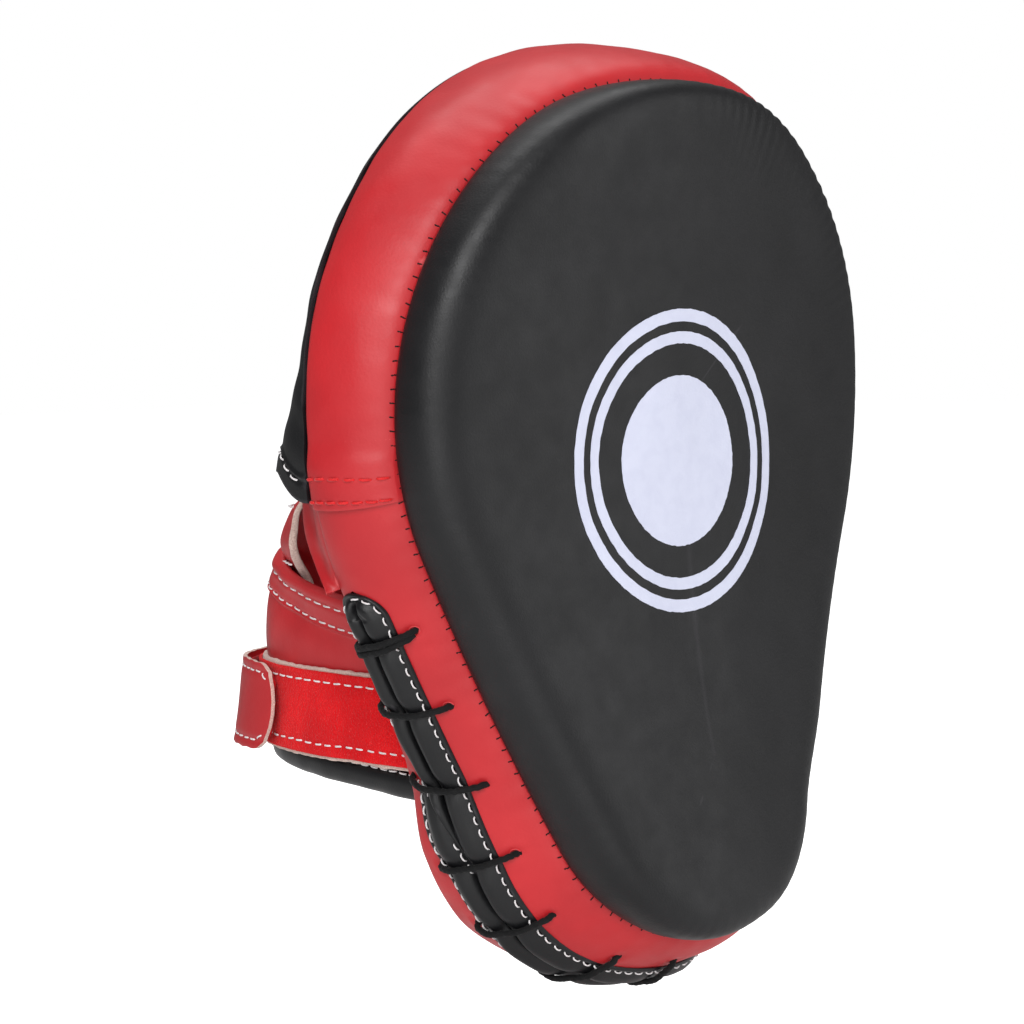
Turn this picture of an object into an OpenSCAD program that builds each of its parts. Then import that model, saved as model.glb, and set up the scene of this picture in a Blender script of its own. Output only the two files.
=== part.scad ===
// Curved focus mitt: a padded striking pad with a laced heel, a finger hood,
// a glove part on its back and a hook-and-loop wrist strap.
// Origin: the middle of the palm, on the pad's flat back. +Z to the fingertips, -Y to the puncher.

/* [Pad] */
// Radius of the wide finger end, at the front seam
finger_end_r = 89.5; // [87:0.5:91]
// Radius of the narrow heel end, at the front seam
heel_end_r = 50; // [48:0.5:52]
// Distance between the centres of the two ends
end_spacing = 94.5; // [92:0.5:97]
// Thickness from the flat back to the middle of the face
pad_t = 45; // [44:0.5:47]
// Radius of the face's hollow curve, from heel to fingertips
face_hollow_r = 400; // [380:10:460]
// Radius of the face's crown, from side to side
face_crown_r = 600; // [500:10:800]
// Depth of the front seam behind the middle of the face
seam_drop = 21.5; // [20:0.5:22]
// Thickness of the leather
leather_t = 1.2; // [1:0.1:1.3]

/* [Target] */
// Radius of the printed disc
disc_r = 22.9; // [18:0.1:25]
// How far the print sits to one side of the pad's middle
target_x = -3; // [-4:0.5:0]
// Inner and outer radius of the inner ring
inner_ring = [31.4, 34.6];
// Inner and outer radius of the outer ring
outer_ring = [37.2, 40.6];

/* [Lacing] */
// Number of crossings of the lace
crossings = 7; // [5:1:7]
// Radius of the lace
lace_r = 1; // [0.8:0.1:1.1]

/* [Glove] */
// Half width of the cuff, where it meets the pad
cuff_half_w = 58; // [56:0.5:60]
// Depth of the cuff behind the pad
cuff_depth = 87; // [86:0.5:88]
// Rise of the finger hood at its hem
hood_rise = 53; // [51:0.5:55]
// Rise of the palm ball
ball_rise = 15; // [12:0.5:18]
// Width of the strap
strap_w = 24.5; // [24:0.5:26]

/* [Hidden] */

red = [0.80, 0.13, 0.15];
black = [0.10, 0.10, 0.11];
foam_grey = [0.45, 0.46, 0.48];
print_white = [0.90, 0.92, 0.96];
lining_grey = [0.30, 0.30, 0.32];

// Pad frame
top_z = 45;                          // centre of the finger end
heel_z = top_z - end_spacing;        // centre of the heel end
hollow_z = 33;                       // height where the face is deepest
target_z = 30;                       // centre of the target
flare = asin((finger_end_r - heel_end_r) / end_spacing);
edge_round = 22;                     // width of the face's rounded edge
edge_power = 4;                      // 2 gives a round edge, more a squarer one
rear_flare = 8;                      // how far the rear rim stands outside the front seam
side_gap = 6.5;                      // room for the lace between the leather and the foam
skin_gap = 0.3;                      // clearance between layers

// Rim sampling: t runs 0..1 over the finger end, 1..2 down the left side,
// 2..3 round the heel and 3..4 up the right side.
top_steps = 28;
side_steps = 7;
heel_steps = 10;
rim_ts = [
    for (i = [0:top_steps - 1]) i / top_steps,
    for (i = [0:side_steps - 1]) 1 + i / side_steps,
    for (i = [0:heel_steps - 1]) 2 + i / heel_steps,
    for (i = [0:side_steps - 1]) 3 + i / side_steps
];
join_t = 0.052;                      // where the finger end band meets the heel bands
side_len = sqrt(pow(end_spacing, 2) - pow(finger_end_r - heel_end_r, 2));
heel_len = heel_end_r * (180 - 2 * flare) * PI / 180;

// Lacing slot
slot_start = 1.14;
slot_end = 2.62;

// Glove frame
cuff_top = -8;                       // top edge of the wrist panel, at the pad
cuff_top_rise = 16;                  // and its rise to the back of the hand
cuff_bottom = -52;                   // bottom edge of the wrist panel, at the pad
cuff_bottom_rise = 4.5;
strap_top = -27;
hood_top = top_z + finger_end_r + rear_flare - 1;
hood_hem_z = 22;

// ---- small helpers ----
function total(v) = v * [for (x = v) 1];
function flat(rows) = [for (row = rows) each row];
function mix(a, b, u) = a + (b - a) * u;
function unit(v) = v / norm(v);
function quad(a, b, c, d) = [[a, b, c], [a, c, d]];
function volume6(points, faces) =
    total([for (f = faces) points[f[0]] * cross(points[f[1]], points[f[2]])]);

// A closed mesh, with its faces turned outward
module closed_mesh(points, faces) {
    inside_out = volume6(points, faces) > 0;
    polyhedron(points, inside_out ? [for (f = faces) [f[2], f[1], f[0]]] : faces, convexity = 8);
}

// A solid sheet between two grids of points, rows by columns
module sheet(outer, inner) {
    rows = len(outer);
    cols = len(outer[0]);
    function at(i, j, side) = side * rows * cols + i * cols + j;
    function rim(i, j, k, l) = quad(at(i, j, 0), at(k, l, 0), at(k, l, 1), at(i, j, 1));
    faces = [
        for (i = [0:rows - 2], j = [0:cols - 2])
            each quad(at(i, j, 0), at(i + 1, j, 0), at(i + 1, j + 1, 0), at(i, j + 1, 0)),
        for (i = [0:rows - 2], j = [0:cols - 2])
            each quad(at(i, j, 1), at(i, j + 1, 1), at(i + 1, j + 1, 1), at(i + 1, j, 1)),
        for (j = [0:cols - 2]) each rim(0, j, 0, j + 1),
        for (j = [0:cols - 2]) each rim(rows - 1, j + 1, rows - 1, j),
        for (i = [0:rows - 2]) each rim(i + 1, 0, i, 0),
        for (i = [0:rows - 2]) each rim(i, cols - 1, i + 1, cols - 1)
    ];
    closed_mesh(concat(flat(outer), flat(inner)), faces);
}

function loft_sides(count, n) = [
    for (k = [0:count - 2], i = [0:n - 1])
        each quad(k * n + i, k * n + (i + 1) % n, (k + 1) * n + (i + 1) % n, (k + 1) * n + i)
];

// A solid through convex, flat rings of points, such as a roll or a cord
module loft(rings) {
    n = len(rings[0]);
    last = (len(rings) - 1) * n;
    caps = [for (i = [1:n - 2]) each [[0, i + 1, i], [last, last + i, last + i + 1]]];
    closed_mesh(flat(rings), concat(loft_sides(len(rings), n), caps));
}

// A solid through rings that follow the rim; each end is closed from side to side
module rim_loft(rings) {
    n = len(rings[0]);
    last = (len(rings) - 1) * n;
    top = top_steps / 2;
    function pair(base, k) = [base + top + k, base + (top - k + n) % n];
    function strip(base, k) = let (a = pair(base, k), b = pair(base, k + 1))
        k == 0 ? [[a[0], b[0], b[1]]] :
        k == n / 2 - 1 ? [[a[0], b[0], a[1]]] : quad(a[0], b[0], b[1], a[1]);
    caps = [
        for (k = [0:n / 2 - 1]) each [for (f = strip(0, k)) [f[2], f[1], f[0]]],
        for (k = [0:n / 2 - 1]) each strip(last, k)
    ];
    closed_mesh(flat(rings), concat(loft_sides(len(rings), n), caps));
}

// ---- pad surfaces ----
function wrap(t) = t >= 4 ? t - 4 : t < 0 ? t + 4 : t;
function rim_angle(t) = let (s = wrap(t))
    s < 1 ? -flare + s * (180 + 2 * flare) :
    s < 2 ? 180 + flare :
    s < 3 ? 180 + flare + (s - 2) * (180 - 2 * flare) : -flare;
function rim_centre(t) = let (s = wrap(t))
    s < 1 ? top_z : s < 2 ? mix(top_z, heel_z, s - 1) : s < 3 ? heel_z : mix(heel_z, top_z, s - 3);
function rim_r(t) = let (s = wrap(t))
    s < 1 ? finger_end_r : s < 2 ? mix(finger_end_r, heel_end_r, s - 1) :
    s < 3 ? heel_end_r : mix(heel_end_r, finger_end_r, s - 3);
function rim_out(t) = [cos(rim_angle(t)), 0, sin(rim_angle(t))];
function rim_point(t, grow, y) = (rim_r(t) + grow) * rim_out(t) + [0, y, rim_centre(t)];

function hollow_y(z) = -pow(z - hollow_z, 2) / (2 * face_hollow_r);
function face_y(x, z) = -pad_t + hollow_y(z) + x * x / (2 * face_crown_r);
function ramp(x, low, high) = let (u = min(1, max(0, (x - low) / (high - low)))) u * u * (3 - 2 * u);

// The seam keeps nearer the face on the little-finger side
function drop_at(t) = seam_drop - 10.5 * ramp(rim_point(t, 0, 0)[0] / finger_end_r, -0.5, 0.35);
function seam_y(t) = -pad_t + drop_at(t) + hollow_y(rim_point(t, 0, 0)[2]);

// A point of the face, a distance d inside the seam and sunk under the surface
function face_point(t, d, sunk) = let (
    rim = rim_point(t, 0, 0),
    p = rim_point(t, -d, 0),
    edge = max(0, 1 - d / edge_round),
    fall = (seam_y(t) - face_y(rim[0], rim[2])) * (1 - pow(1 - pow(edge, edge_power), 1 / edge_power)),
    tilt = 90 * min(1, d / edge_round)
) [p[0], face_y(p[0], p[2]) + fall, p[2]] + sunk * (sin(tilt) * [0, 1, 0] - cos(tilt) * rim_out(t));

// How far the side wall stands out of the seam's outline, at height y
function wall_grow(t, y) = let (
    v = min(1, max(0, 1 - y / seam_y(t))),
    rim = rim_point(t, 0, 0),
    heel = pow(max(0, -rim_out(t)[2]), 2),
    corner = 5.5 * ramp(abs(rim[0]), 5, 38) * ramp(-rim[2], 45, 68)
) (rear_flare + corner) * v + (4 + 5 * heel) * 4 * v * (1 - v);
function wall_point(t, y, out) = rim_point(t, wall_grow(t, y) + out, y);

// Depth inside the seam of point u of the way to the pad's spine
function to_spine(t, u) = rim_r(t) * u;

// ---- lacing ----
// The slot keeps nearer the back along the side than round the heel
function slot_y(t) = seam_y(t) * (0.32 + 0.19 * (t - 1.2));

// Side -1 is towards the face. Near its top end the rear half is squeezed by the back panel
hole_back_most = 10.8;
hole_margin = 2.4;
function hole_back(t, side) = let (front = mix(8.6, hole_back_most, min(1, max(0, (t - 1.2) / 0.9))))
    side < 0 ? front : min(hole_back_most, -slot_y(t) - hole_margin);
function slot_half(t, side) = 0.65 * hole_back(t, side);
function slot_open(t) = let (u = (t - slot_start) / (slot_end - slot_start))
    u <= 0 || u >= 1 ? 0 : pow(sin(180 * u), 0.35);
// Where the lace crosses, along the rim from the top of the left side
crossing_at = [19, 39.5, 62, 84.5, 101.5, 121.5, 141];
function crossing_t(k) = let (s = crossing_at[k])
    s <= side_len ? 1 + s / side_len : 2 + (s - side_len) / heel_len;

// ---- glove surfaces ----
// An arch over the back: phi 0 is the left foot, 90 the back of the hand, 180 the right foot
function arch(a, b, n, phi, z) = [
    -a * sign(cos(phi)) * pow(abs(cos(phi)), 2 / n),
    b * pow(abs(sin(phi)), 2 / n),
    z
];
function hood_b(z) = let (u = max(0, (hood_top - z) / (hood_top - hood_hem_z)))
    0.48 * hood_rise * sqrt(u) + 0.52 * hood_rise * pow(u, 5);
function hood_a(z) = z > top_z ? sqrt(max(0, pow(finger_end_r + rear_flare, 2) - pow(z - top_z, 2))) :
    finger_end_r + rear_flare - pow(top_z - z, 2) / 250;
function hood_point(phi, z, grow) =
    arch(hood_a(z) + grow, hood_b(z) + grow, 1.7 + 0.5 * ramp(-z, -75, -30), phi, z) + [0, skin_gap, 0];

// The cuff widens a little towards the wrist
function cuff_a(z) = cuff_half_w + 4 * max(0, (z + 27) / 31);
function cuff_b(z) = cuff_depth - 13 * pow(max(0, (z + 27) / 31), 2);
function cuff_point(phi, z, grow) = arch(cuff_a(z) + grow, cuff_b(z) + grow, 3.4, phi, z) + [0, skin_gap, 0];
function cuff_top_z(phi, drop) = let (p = cuff_point(phi, cuff_top, 0))
    cuff_top - drop + cuff_top_rise * pow(p[1] / cuff_depth, 2);
function cuff_bottom_z(phi) = let (p = cuff_point(phi, cuff_bottom, 0))
    cuff_bottom + cuff_bottom_rise * p[1] / cuff_depth;

// The strap stands off the cuff at its corners
strap_a = cuff_half_w + 4.6;
strap_b = cuff_depth + 5.6;
function strap_point(phi, z, grow) = arch(strap_a + grow, strap_b + grow, 3.8, phi, z) + [0, skin_gap, 0];

// ---- generic rows ----
function span(from, to, steps) = [for (i = [0:steps]) mix(from, to, i / steps)];

// ======== pad ========
face_rings = [0.94, 0.7, 0.45];
edge_insets = [22, 16, 10, 5, 2, 0];

module face_panel() {
    outer = [
        for (u = face_rings) [for (t = rim_ts) face_point(t, to_spine(t, u), 0)],
        for (d = edge_insets) [for (t = rim_ts) face_point(t, d, 0)]
    ];
    inner = [
        for (i = [len(edge_insets) - 1:-1:0])
            [for (t = rim_ts) face_point(t, edge_insets[i], leather_t)],
        for (i = [len(face_rings) - 1:-1:0])
            [for (t = rim_ts) face_point(t, to_spine(t, face_rings[i]), leather_t)]
    ];
    color(black) rim_loft(concat(outer, inner));
}

function print_point(r, phi, up) = let (x = target_x + r * cos(phi), z = target_z + r * sin(phi))
    [x, face_y(x, z) - up, z];
function print_ring(r, up) = [for (i = [0:print_steps - 1]) print_point(r, i * 360 / print_steps, up)];
print_steps = 40;
film = [0.25, 0.5];                  // the print's two faces, above the leather

module print_patch(r0, r1) {
    n = print_steps;
    rings = [print_ring(r1, film[0]), print_ring(r1, film[1]), print_ring(r0, film[1]),
             print_ring(r0, film[0])];
    closed_mesh(
        flat(rings),
        [for (k = [0:3], i = [0:n - 1])
            each quad(k * n + i, k * n + (i + 1) % n, ((k + 1) % 4) * n + (i + 1) % n,
                      ((k + 1) % 4) * n + i)]
    );
}

// The disc is drawn from its rim to a small middle ring
module print_disc() {
    loft([
        for (r = [0.5, disc_r / 2, disc_r]) print_ring(r, film[0]),
        for (r = [disc_r, disc_r / 2, 0.5]) print_ring(r, film[1])
    ]);
}

module target_print() {
    color(print_white) {
        print_disc();
        print_patch(inner_ring[0], inner_ring[1]);
        print_patch(outer_ring[0], outer_ring[1]);
    }
}

// Boundaries between the foam layers
function layer_y(z, depth, share) = -pad_t + depth + share * hollow_y(z);
front_layer = 14;
core_layer = 30;
front_foam_inset = 9;

function layer_ring(u_or_d, is_share, depth, share) = [
    for (t = rim_ts)
        let (p = rim_point(t, -(is_share ? to_spine(t, u_or_d) : u_or_d), 0))
            [p[0], layer_y(p[2], depth, share), p[2]]
];

module front_foam() {
    top = [
        for (u = face_rings) [for (t = rim_ts) face_point(t, to_spine(t, u), leather_t + skin_gap)],
        for (d = [22, 15, front_foam_inset]) [for (t = rim_ts) face_point(t, d, leather_t + skin_gap)]
    ];
    under = [
        layer_ring(front_foam_inset, false, front_layer, 1),
        for (i = [len(face_rings) - 1:-1:0]) layer_ring(face_rings[i], true, front_layer, 1)
    ];
    color(foam_grey) rim_loft(concat(top, under));
}

module core_foam() {
    color(foam_grey) rim_loft(concat(
        [for (u = face_rings) layer_ring(u, true, front_layer + skin_gap, 1)],
        [layer_ring(front_foam_inset - 1, false, front_layer + skin_gap, 1)],
        [for (d = [front_foam_inset - 1, 5, 2])
            [for (t = rim_ts) face_point(t, d, leather_t + 2 * skin_gap)]],
        [[for (t = rim_ts) wall_point(t, seam_y(t) + 3, -side_gap)]],
        [[for (t = rim_ts)
            let (p = rim_point(t, 0, 0), y = layer_y(p[2], core_layer, 0.5))
                wall_point(t, y, -side_gap)]],
        [for (i = [len(face_rings) - 1:-1:0]) layer_ring(face_rings[i], true, core_layer, 0.5)]
    ));
}

module rear_foam() {
    back = -leather_t - 2 * skin_gap;
    color(foam_grey) rim_loft(concat(
        [for (u = face_rings) layer_ring(u, true, core_layer + skin_gap, 0.5)],
        [[for (t = rim_ts)
            let (p = rim_point(t, 0, 0), y = layer_y(p[2], core_layer + skin_gap, 0.5))
                wall_point(t, y, -side_gap)]],
        [[for (t = rim_ts) wall_point(t, back, -side_gap)]],
        [for (i = [len(face_rings) - 1:-1:0])
            [for (t = rim_ts) rim_point(t, -to_spine(t, face_rings[i]), back)]]
    ));
}

// ======== side wall ========
module wall_strip(ts, from_y, to_y, rows, out0, out1) {
    sheet(
        [for (v = span(0, 1, rows)) [for (t = ts) wall_point(t, mix(from_y(t), to_y(t), v), out1)]],
        [for (v = span(0, 1, rows)) [for (t = ts) wall_point(t, mix(from_y(t), to_y(t), v), out0)]]
    );
}

heel_ts = concat(
    [1 - join_t],
    [for (i = [0:8]) 1 + i / 8], [for (i = [1:14]) 2 + i / 14], [for (i = [1:6]) 3 + i / 6],
    [4 + join_t]
);
top_ts = span(join_t + 0.001, 1 - join_t - 0.001, 28);

module lace_holes(side) {
    for (k = [0:crossings - 1])
        let (t = crossing_t(k), p = wall_point(t, slot_y(t) + side * hole_back(t, side), 0))
            translate(p) rotate([0, 90 - rim_angle(t), 0])
                cylinder(h = 5, r = lace_r + 0.4, center = true, $fn = 24);
}

module finger_end_band() {
    color(red)
        wall_strip(top_ts, function (t) seam_y(t) + skin_gap, function (t) 0, 4, -leather_t, 0);
}

module heel_front_band() {
    color(red) difference() {
        wall_strip(heel_ts, function (t) seam_y(t) + skin_gap,
                   function (t) slot_y(t) - slot_half(t, -1) * slot_open(t) - skin_gap, 3, -leather_t, 0);
        lace_holes(-1);
    }
}

module heel_rear_band() {
    color(red) difference() {
        wall_strip(heel_ts, function (t) slot_y(t) + slot_half(t, 1) * slot_open(t) + skin_gap,
                   function (t) 0, 3, -leather_t, 0);
        lace_holes(1);
    }
}

module band_join_tabs() {
    half = 0.017;
    color(red) for (middle = [join_t, 1 - join_t])
        wall_strip(span(middle - half, middle + half, 2), function (t) seam_y(t) + 0.5,
                   function (t) -0.5, 4, skin_gap, skin_gap + 0.9);
}

roll_h = 2.6;                        // half height of a binding
slot_ts = [for (u = span(0.02, 0.98, 26)) mix(slot_start, slot_end, u)];

// A padded roll along one edge of the slot
module binding(side) {
    sides = 10;
    loft([for (t = slot_ts) let (
            s = max(0.2, slot_open(t)),
            middle = wall_point(t, slot_y(t) + side * slot_half(t, side) / 2 * s, 0),
            half_w = (slot_half(t, side) / 2 - skin_gap) * s
        ) [for (i = [0:sides - 1]) let (phi = i * 360 / sides)
            middle + half_w * cos(phi) * [0, 1, 0] + roll_h * s * sin(phi) * rim_out(t)]]);
}

module front_binding() color(black) binding(-1);
module rear_binding() color(black) binding(1);

module lace_tongue() {
    tuck = 2.5;
    color(black) wall_strip(
        [for (u = span(0.04, 0.96, 24)) mix(slot_start, slot_end, u)],
        function (t) slot_y(t) - slot_half(t, -1) - tuck,
        function (t) min(slot_y(t) + slot_half(t, 1) + tuck, -2.5), 5, -side_gap + 0.3, -side_gap + 0.9);
}

// One crossing: up through the front hole, over both rolls and down through the rear hole
under = -3.8;                        // the lace's depth on its way to the next crossing
lace_stops = [
    [-1, under], [-1, 1.1], [-0.74, 3.2], [-0.36, roll_h + 1.8], [0, roll_h + 1.3],
    [0.36, roll_h + 1.8], [0.74, 3.2], [1, 1.1], [1, under]
];
function crossing_route(k) = let (t = crossing_t(k), halfway = (t + crossing_t(k + 1)) / 2) [
    for (stop = lace_stops) [t, slot_y(t) + stop[0] * hole_back(t, stop[0]), stop[1]],
    if (k < crossings - 1) [halfway, slot_y(halfway), under]
];

module lace() {
    sides = 8;
    route = [for (k = [0:crossings - 1]) each crossing_route(k)];
    points = [for (r = route) wall_point(r[0], r[1], r[2])];
    last = len(points) - 1;
    function ahead(i) = unit(points[min(last, i + 1)] - points[max(0, i - 1)]);
    color(black) loft([for (i = [0:last])
        let (
            out = rim_out(route[i][0]),
            along = cross(out, [0, 1, 0]),
            a = unit(cross(ahead(i), along)),
            b = cross(ahead(i), a)
        ) [for (s = [0:sides - 1]) let (phi = s * 360 / sides)
            points[i] + lace_r * (cos(phi) * a + sin(phi) * b)]]);
}

// ======== back of the pad ========
module back_panel() {
    grow = rear_flare - leather_t - 2 * skin_gap;
    outline = [for (t = rim_ts) let (p = rim_point(t, grow, 0)) [p[0], p[2]]];
    color(red) rotate([90, 0, 0]) linear_extrude(leather_t) polygon(outline);
}

ball_r = 33;
ball_z = -22;
ball_sphere = (ball_r * ball_r + ball_rise * ball_rise) / (2 * ball_rise);

module dome(r, from_y) {
    intersection() {
        translate([0, ball_rise - ball_sphere, ball_z]) sphere(r = r, $fn = 96);
        translate([-60, from_y, ball_z - 60]) cube([120, 60, 120]);
    }
}

module palm_ball_foam() color(foam_grey) dome(ball_sphere - leather_t - 0.1, 0.1);

module palm_ball_cover() {
    color(red) difference() {
        dome(ball_sphere, 0.1);
        translate([0, ball_rise - ball_sphere, ball_z]) sphere(r = ball_sphere - leather_t, $fn = 96);
    }
}

// ======== glove ========
module arch_sheet(zs, phis, point, out0, out1) {
    sheet(
        [for (z = zs) [for (phi = phis) point(phi, z, out1)]],
        [for (z = zs) [for (phi = phis) point(phi, z, out0)]]
    );
}

hood_phis = span(0, 180, 24);
hood_zs = concat(span(hood_top - 0.6, hood_top - 12, 2), [114, 98, 80, 62, 50, 40, 31, hood_hem_z]);

module finger_hood() {
    color(black) arch_sheet(hood_zs, hood_phis,
        function (phi, z, out) hood_point(phi, z, out), -leather_t, 0);
}

module hood_hem() {
    color(black) arch_sheet([hood_hem_z + 6, hood_hem_z], span(4, 176, 24),
        function (phi, z, out) hood_point(phi, z, out), skin_gap, skin_gap + 0.9);
}

// The finger panel bulges below the hood and tucks inside the wrist panel
panel_levels = [
    [60, 58, 20], [44, 61, 26], [32, 63, 34], [26, 65, 43], [22, 66, 49.5], [17, 67, 60], [11, 66, 65],
    [3, 60, 71.5], [-12, 57, 75]
];
function panel_point(phi, level, grow) = arch(level[1] + grow, level[2] + grow, 3, phi, level[0]);

module finger_panel() {
    color(red) arch_sheet(panel_levels, span(34, 174, 20),
        function (phi, level, out) panel_point(phi, level, out), -leather_t, 0);
}

module knuckle_patch() {
    color(red) arch_sheet([for (i = [5:7]) panel_levels[i]], span(46, 150, 14),
        function (phi, level, out) panel_point(phi, level, out), skin_gap, skin_gap + 0.9);
}

module finger_dividers() {
    web = 1.2;
    color(red) for (x = [-21, 0, 21])
        translate([x - web / 2, 0.3, 30]) cube([web, 8, 28]);
}

module thumb_loop() {
    color(red) translate([-50, 0.3, 0]) arch_sheet([20, 10, 0], span(4, 176, 14),
        function (phi, z, out) arch(15 + out, 16 + out, 2.4, phi, z), -leather_t, 0);
}

cuff_phis = span(0, 180, 26);

// Rows of a cuff layer, from its curved top edge to its slanting bottom edge
module cuff_layer(phis, drop, lift, rows, out0, out1) {
    function row_z(phi, v) = mix(cuff_top_z(phi, drop), cuff_bottom_z(phi) + lift, v);
    sheet(
        [for (v = span(0, 1, rows)) [for (phi = phis) cuff_point(phi, row_z(phi, v), out1)]],
        [for (v = span(0, 1, rows)) [for (phi = phis) cuff_point(phi, row_z(phi, v), out0)]]
    );
}

module wrist_panel() color(red) cuff_layer(cuff_phis, 0, 0, 6, -leather_t, 0);

module wrist_hem() {
    function row_z(phi, v) = cuff_top_z(phi, 7 * v);
    phis = span(3, 177, 24);
    color(red) sheet(
        [for (v = [0, 1]) [for (phi = phis) cuff_point(phi, row_z(phi, v), skin_gap + 1)]],
        [for (v = [0, 1]) [for (phi = phis) cuff_point(phi, row_z(phi, v), skin_gap)]]
    );
}

module cuff_foam() {
    color(foam_grey) cuff_layer(cuff_phis, 14, 1, 4, -leather_t - 2 * skin_gap - 4,
                                        -leather_t - 2 * skin_gap);
}

module cuff_lining() {
    out = -leather_t - 3 * skin_gap - 4;
    color(lining_grey) cuff_layer(cuff_phis, 14, 1, 4, out - 0.8, out);
}

module cuff_binding() {
    sides = 10;
    half_t = 3.9;
    half_z = 4;
    middle = -3.9;
    color(black) loft([for (phi = span(1, 179, 26))
        let (
            z = cuff_bottom_z(phi) - half_z - 0.4,
            p = cuff_point(phi, z, middle),
            q = cuff_point(phi, z, middle + 1),
            out = unit(q - p)
        ) [for (i = [0:sides - 1]) let (s = i * 360 / sides)
            p + half_t * cos(s) * out + half_z * sin(s) * [0, 0, 1]]]);
}

// ======== wrist strap ========
strap_zs = [strap_top, strap_top - strap_w];
tape_inset = 1.8;
tape_zs = [strap_top - tape_inset, strap_top - strap_w + tape_inset];
tape_t = 0.9;

module loop_strap() {
    color(red) arch_sheet(strap_zs, span(2, 84, 18),
        function (phi, z, out) cuff_point(phi, z, out), skin_gap, skin_gap + leather_t);
}

module loop_tape() {
    from = 2 * skin_gap + leather_t;
    color(red) arch_sheet(tape_zs, span(5, 82, 18),
        function (phi, z, out) cuff_point(phi, z, out), from, from + tape_t);
}

// Breaks in the strap, as angles round its arch
anchor_phi = 168;
bend_phi = 128;
tip_phi = 42;
end_phi = 22;
joint_gap = 1.3;                     // half the clear width at each fold
function strap_step(phi) = joint_gap / norm(strap_point(phi + 0.5, 0, 0) - strap_point(phi - 0.5, 0, 0));

module strap_piece(from, to, zs, out0, out1) {
    arch_sheet(zs, span(from, to, 12), function (phi, z, out) strap_point(phi, z, out), out0, out1);
}

module strap_anchor() {
    color(red) strap_piece(177, anchor_phi + strap_step(anchor_phi), strap_zs, -leather_t, 0);
}

module strap_root_panel() {
    color(red) strap_piece(anchor_phi - strap_step(anchor_phi), bend_phi + strap_step(bend_phi),
                           strap_zs, -leather_t, 0);
}

module strap_end_panel() {
    color(red) strap_piece(bend_phi - strap_step(bend_phi), tip_phi + strap_step(tip_phi),
                           strap_zs, -leather_t, 0);
}

module hook_tape() {
    back = -leather_t - 0.1;
    color(red) strap_piece(96, tip_phi + 2 * strap_step(tip_phi), tape_zs, back - tape_t, back);
}

module strap_tip_tab() {
    color(red) strap_piece(tip_phi - strap_step(tip_phi), end_phi, strap_zs, -leather_t, 0);
}

module hook_tip_tape() {
    back = -leather_t - 0.1;
    color(red) strap_piece(tip_phi - 2 * strap_step(tip_phi), end_phi + 2, tape_zs, back - tape_t, back);
}

face_panel();
target_print();
front_foam();
core_foam();
rear_foam();
finger_end_band();
heel_front_band();
heel_rear_band();
band_join_tabs();
front_binding();
rear_binding();
lace_tongue();
lace();
back_panel();
palm_ball_foam();
palm_ball_cover();
finger_hood();
hood_hem();
finger_panel();
knuckle_patch();
finger_dividers();
thumb_loop();
wrist_panel();
wrist_hem();
cuff_foam();
cuff_lining();
cuff_binding();
loop_strap();
loop_tape();
strap_anchor();
strap_root_panel();
strap_end_panel();
hook_tape();
strap_tip_tab();
hook_tip_tape();
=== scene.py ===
"""A curved focus mitt: the soft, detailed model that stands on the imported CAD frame.

Lengths in this script are millimetres in the CAD frame, and Piece.build turns them into metres.
+Z is towards the fingertips, -Y out of the striking face and -X towards the thumb.
t runs round the pad's outline: 0 to 1 finger end, 2 left side, 3 heel, 4 right side.
"""

import bmesh
import bpy
import numpy as np
from mathutils import Matrix, Vector


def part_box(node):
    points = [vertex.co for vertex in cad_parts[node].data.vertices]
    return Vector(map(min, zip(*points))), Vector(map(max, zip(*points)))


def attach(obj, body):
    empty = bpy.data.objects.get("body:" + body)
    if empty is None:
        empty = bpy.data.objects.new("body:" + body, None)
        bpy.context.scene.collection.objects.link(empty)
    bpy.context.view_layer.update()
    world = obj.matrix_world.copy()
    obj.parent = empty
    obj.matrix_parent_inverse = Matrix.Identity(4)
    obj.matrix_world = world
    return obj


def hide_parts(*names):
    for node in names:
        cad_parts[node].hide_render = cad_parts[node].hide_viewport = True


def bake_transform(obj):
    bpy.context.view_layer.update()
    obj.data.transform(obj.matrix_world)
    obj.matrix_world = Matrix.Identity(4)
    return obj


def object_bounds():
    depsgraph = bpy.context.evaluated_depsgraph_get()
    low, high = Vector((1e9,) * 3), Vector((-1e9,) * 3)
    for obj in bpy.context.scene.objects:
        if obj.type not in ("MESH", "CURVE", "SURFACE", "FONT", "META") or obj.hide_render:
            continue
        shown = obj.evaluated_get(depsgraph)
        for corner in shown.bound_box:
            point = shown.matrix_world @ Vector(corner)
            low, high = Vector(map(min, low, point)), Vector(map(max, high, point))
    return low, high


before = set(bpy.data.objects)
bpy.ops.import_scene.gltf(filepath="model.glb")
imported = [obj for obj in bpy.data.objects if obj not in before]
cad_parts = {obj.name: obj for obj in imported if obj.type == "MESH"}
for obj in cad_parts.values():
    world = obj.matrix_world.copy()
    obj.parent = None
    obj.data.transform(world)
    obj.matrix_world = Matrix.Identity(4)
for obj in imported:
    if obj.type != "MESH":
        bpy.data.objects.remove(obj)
cad_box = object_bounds()
MM = 0.001

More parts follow.
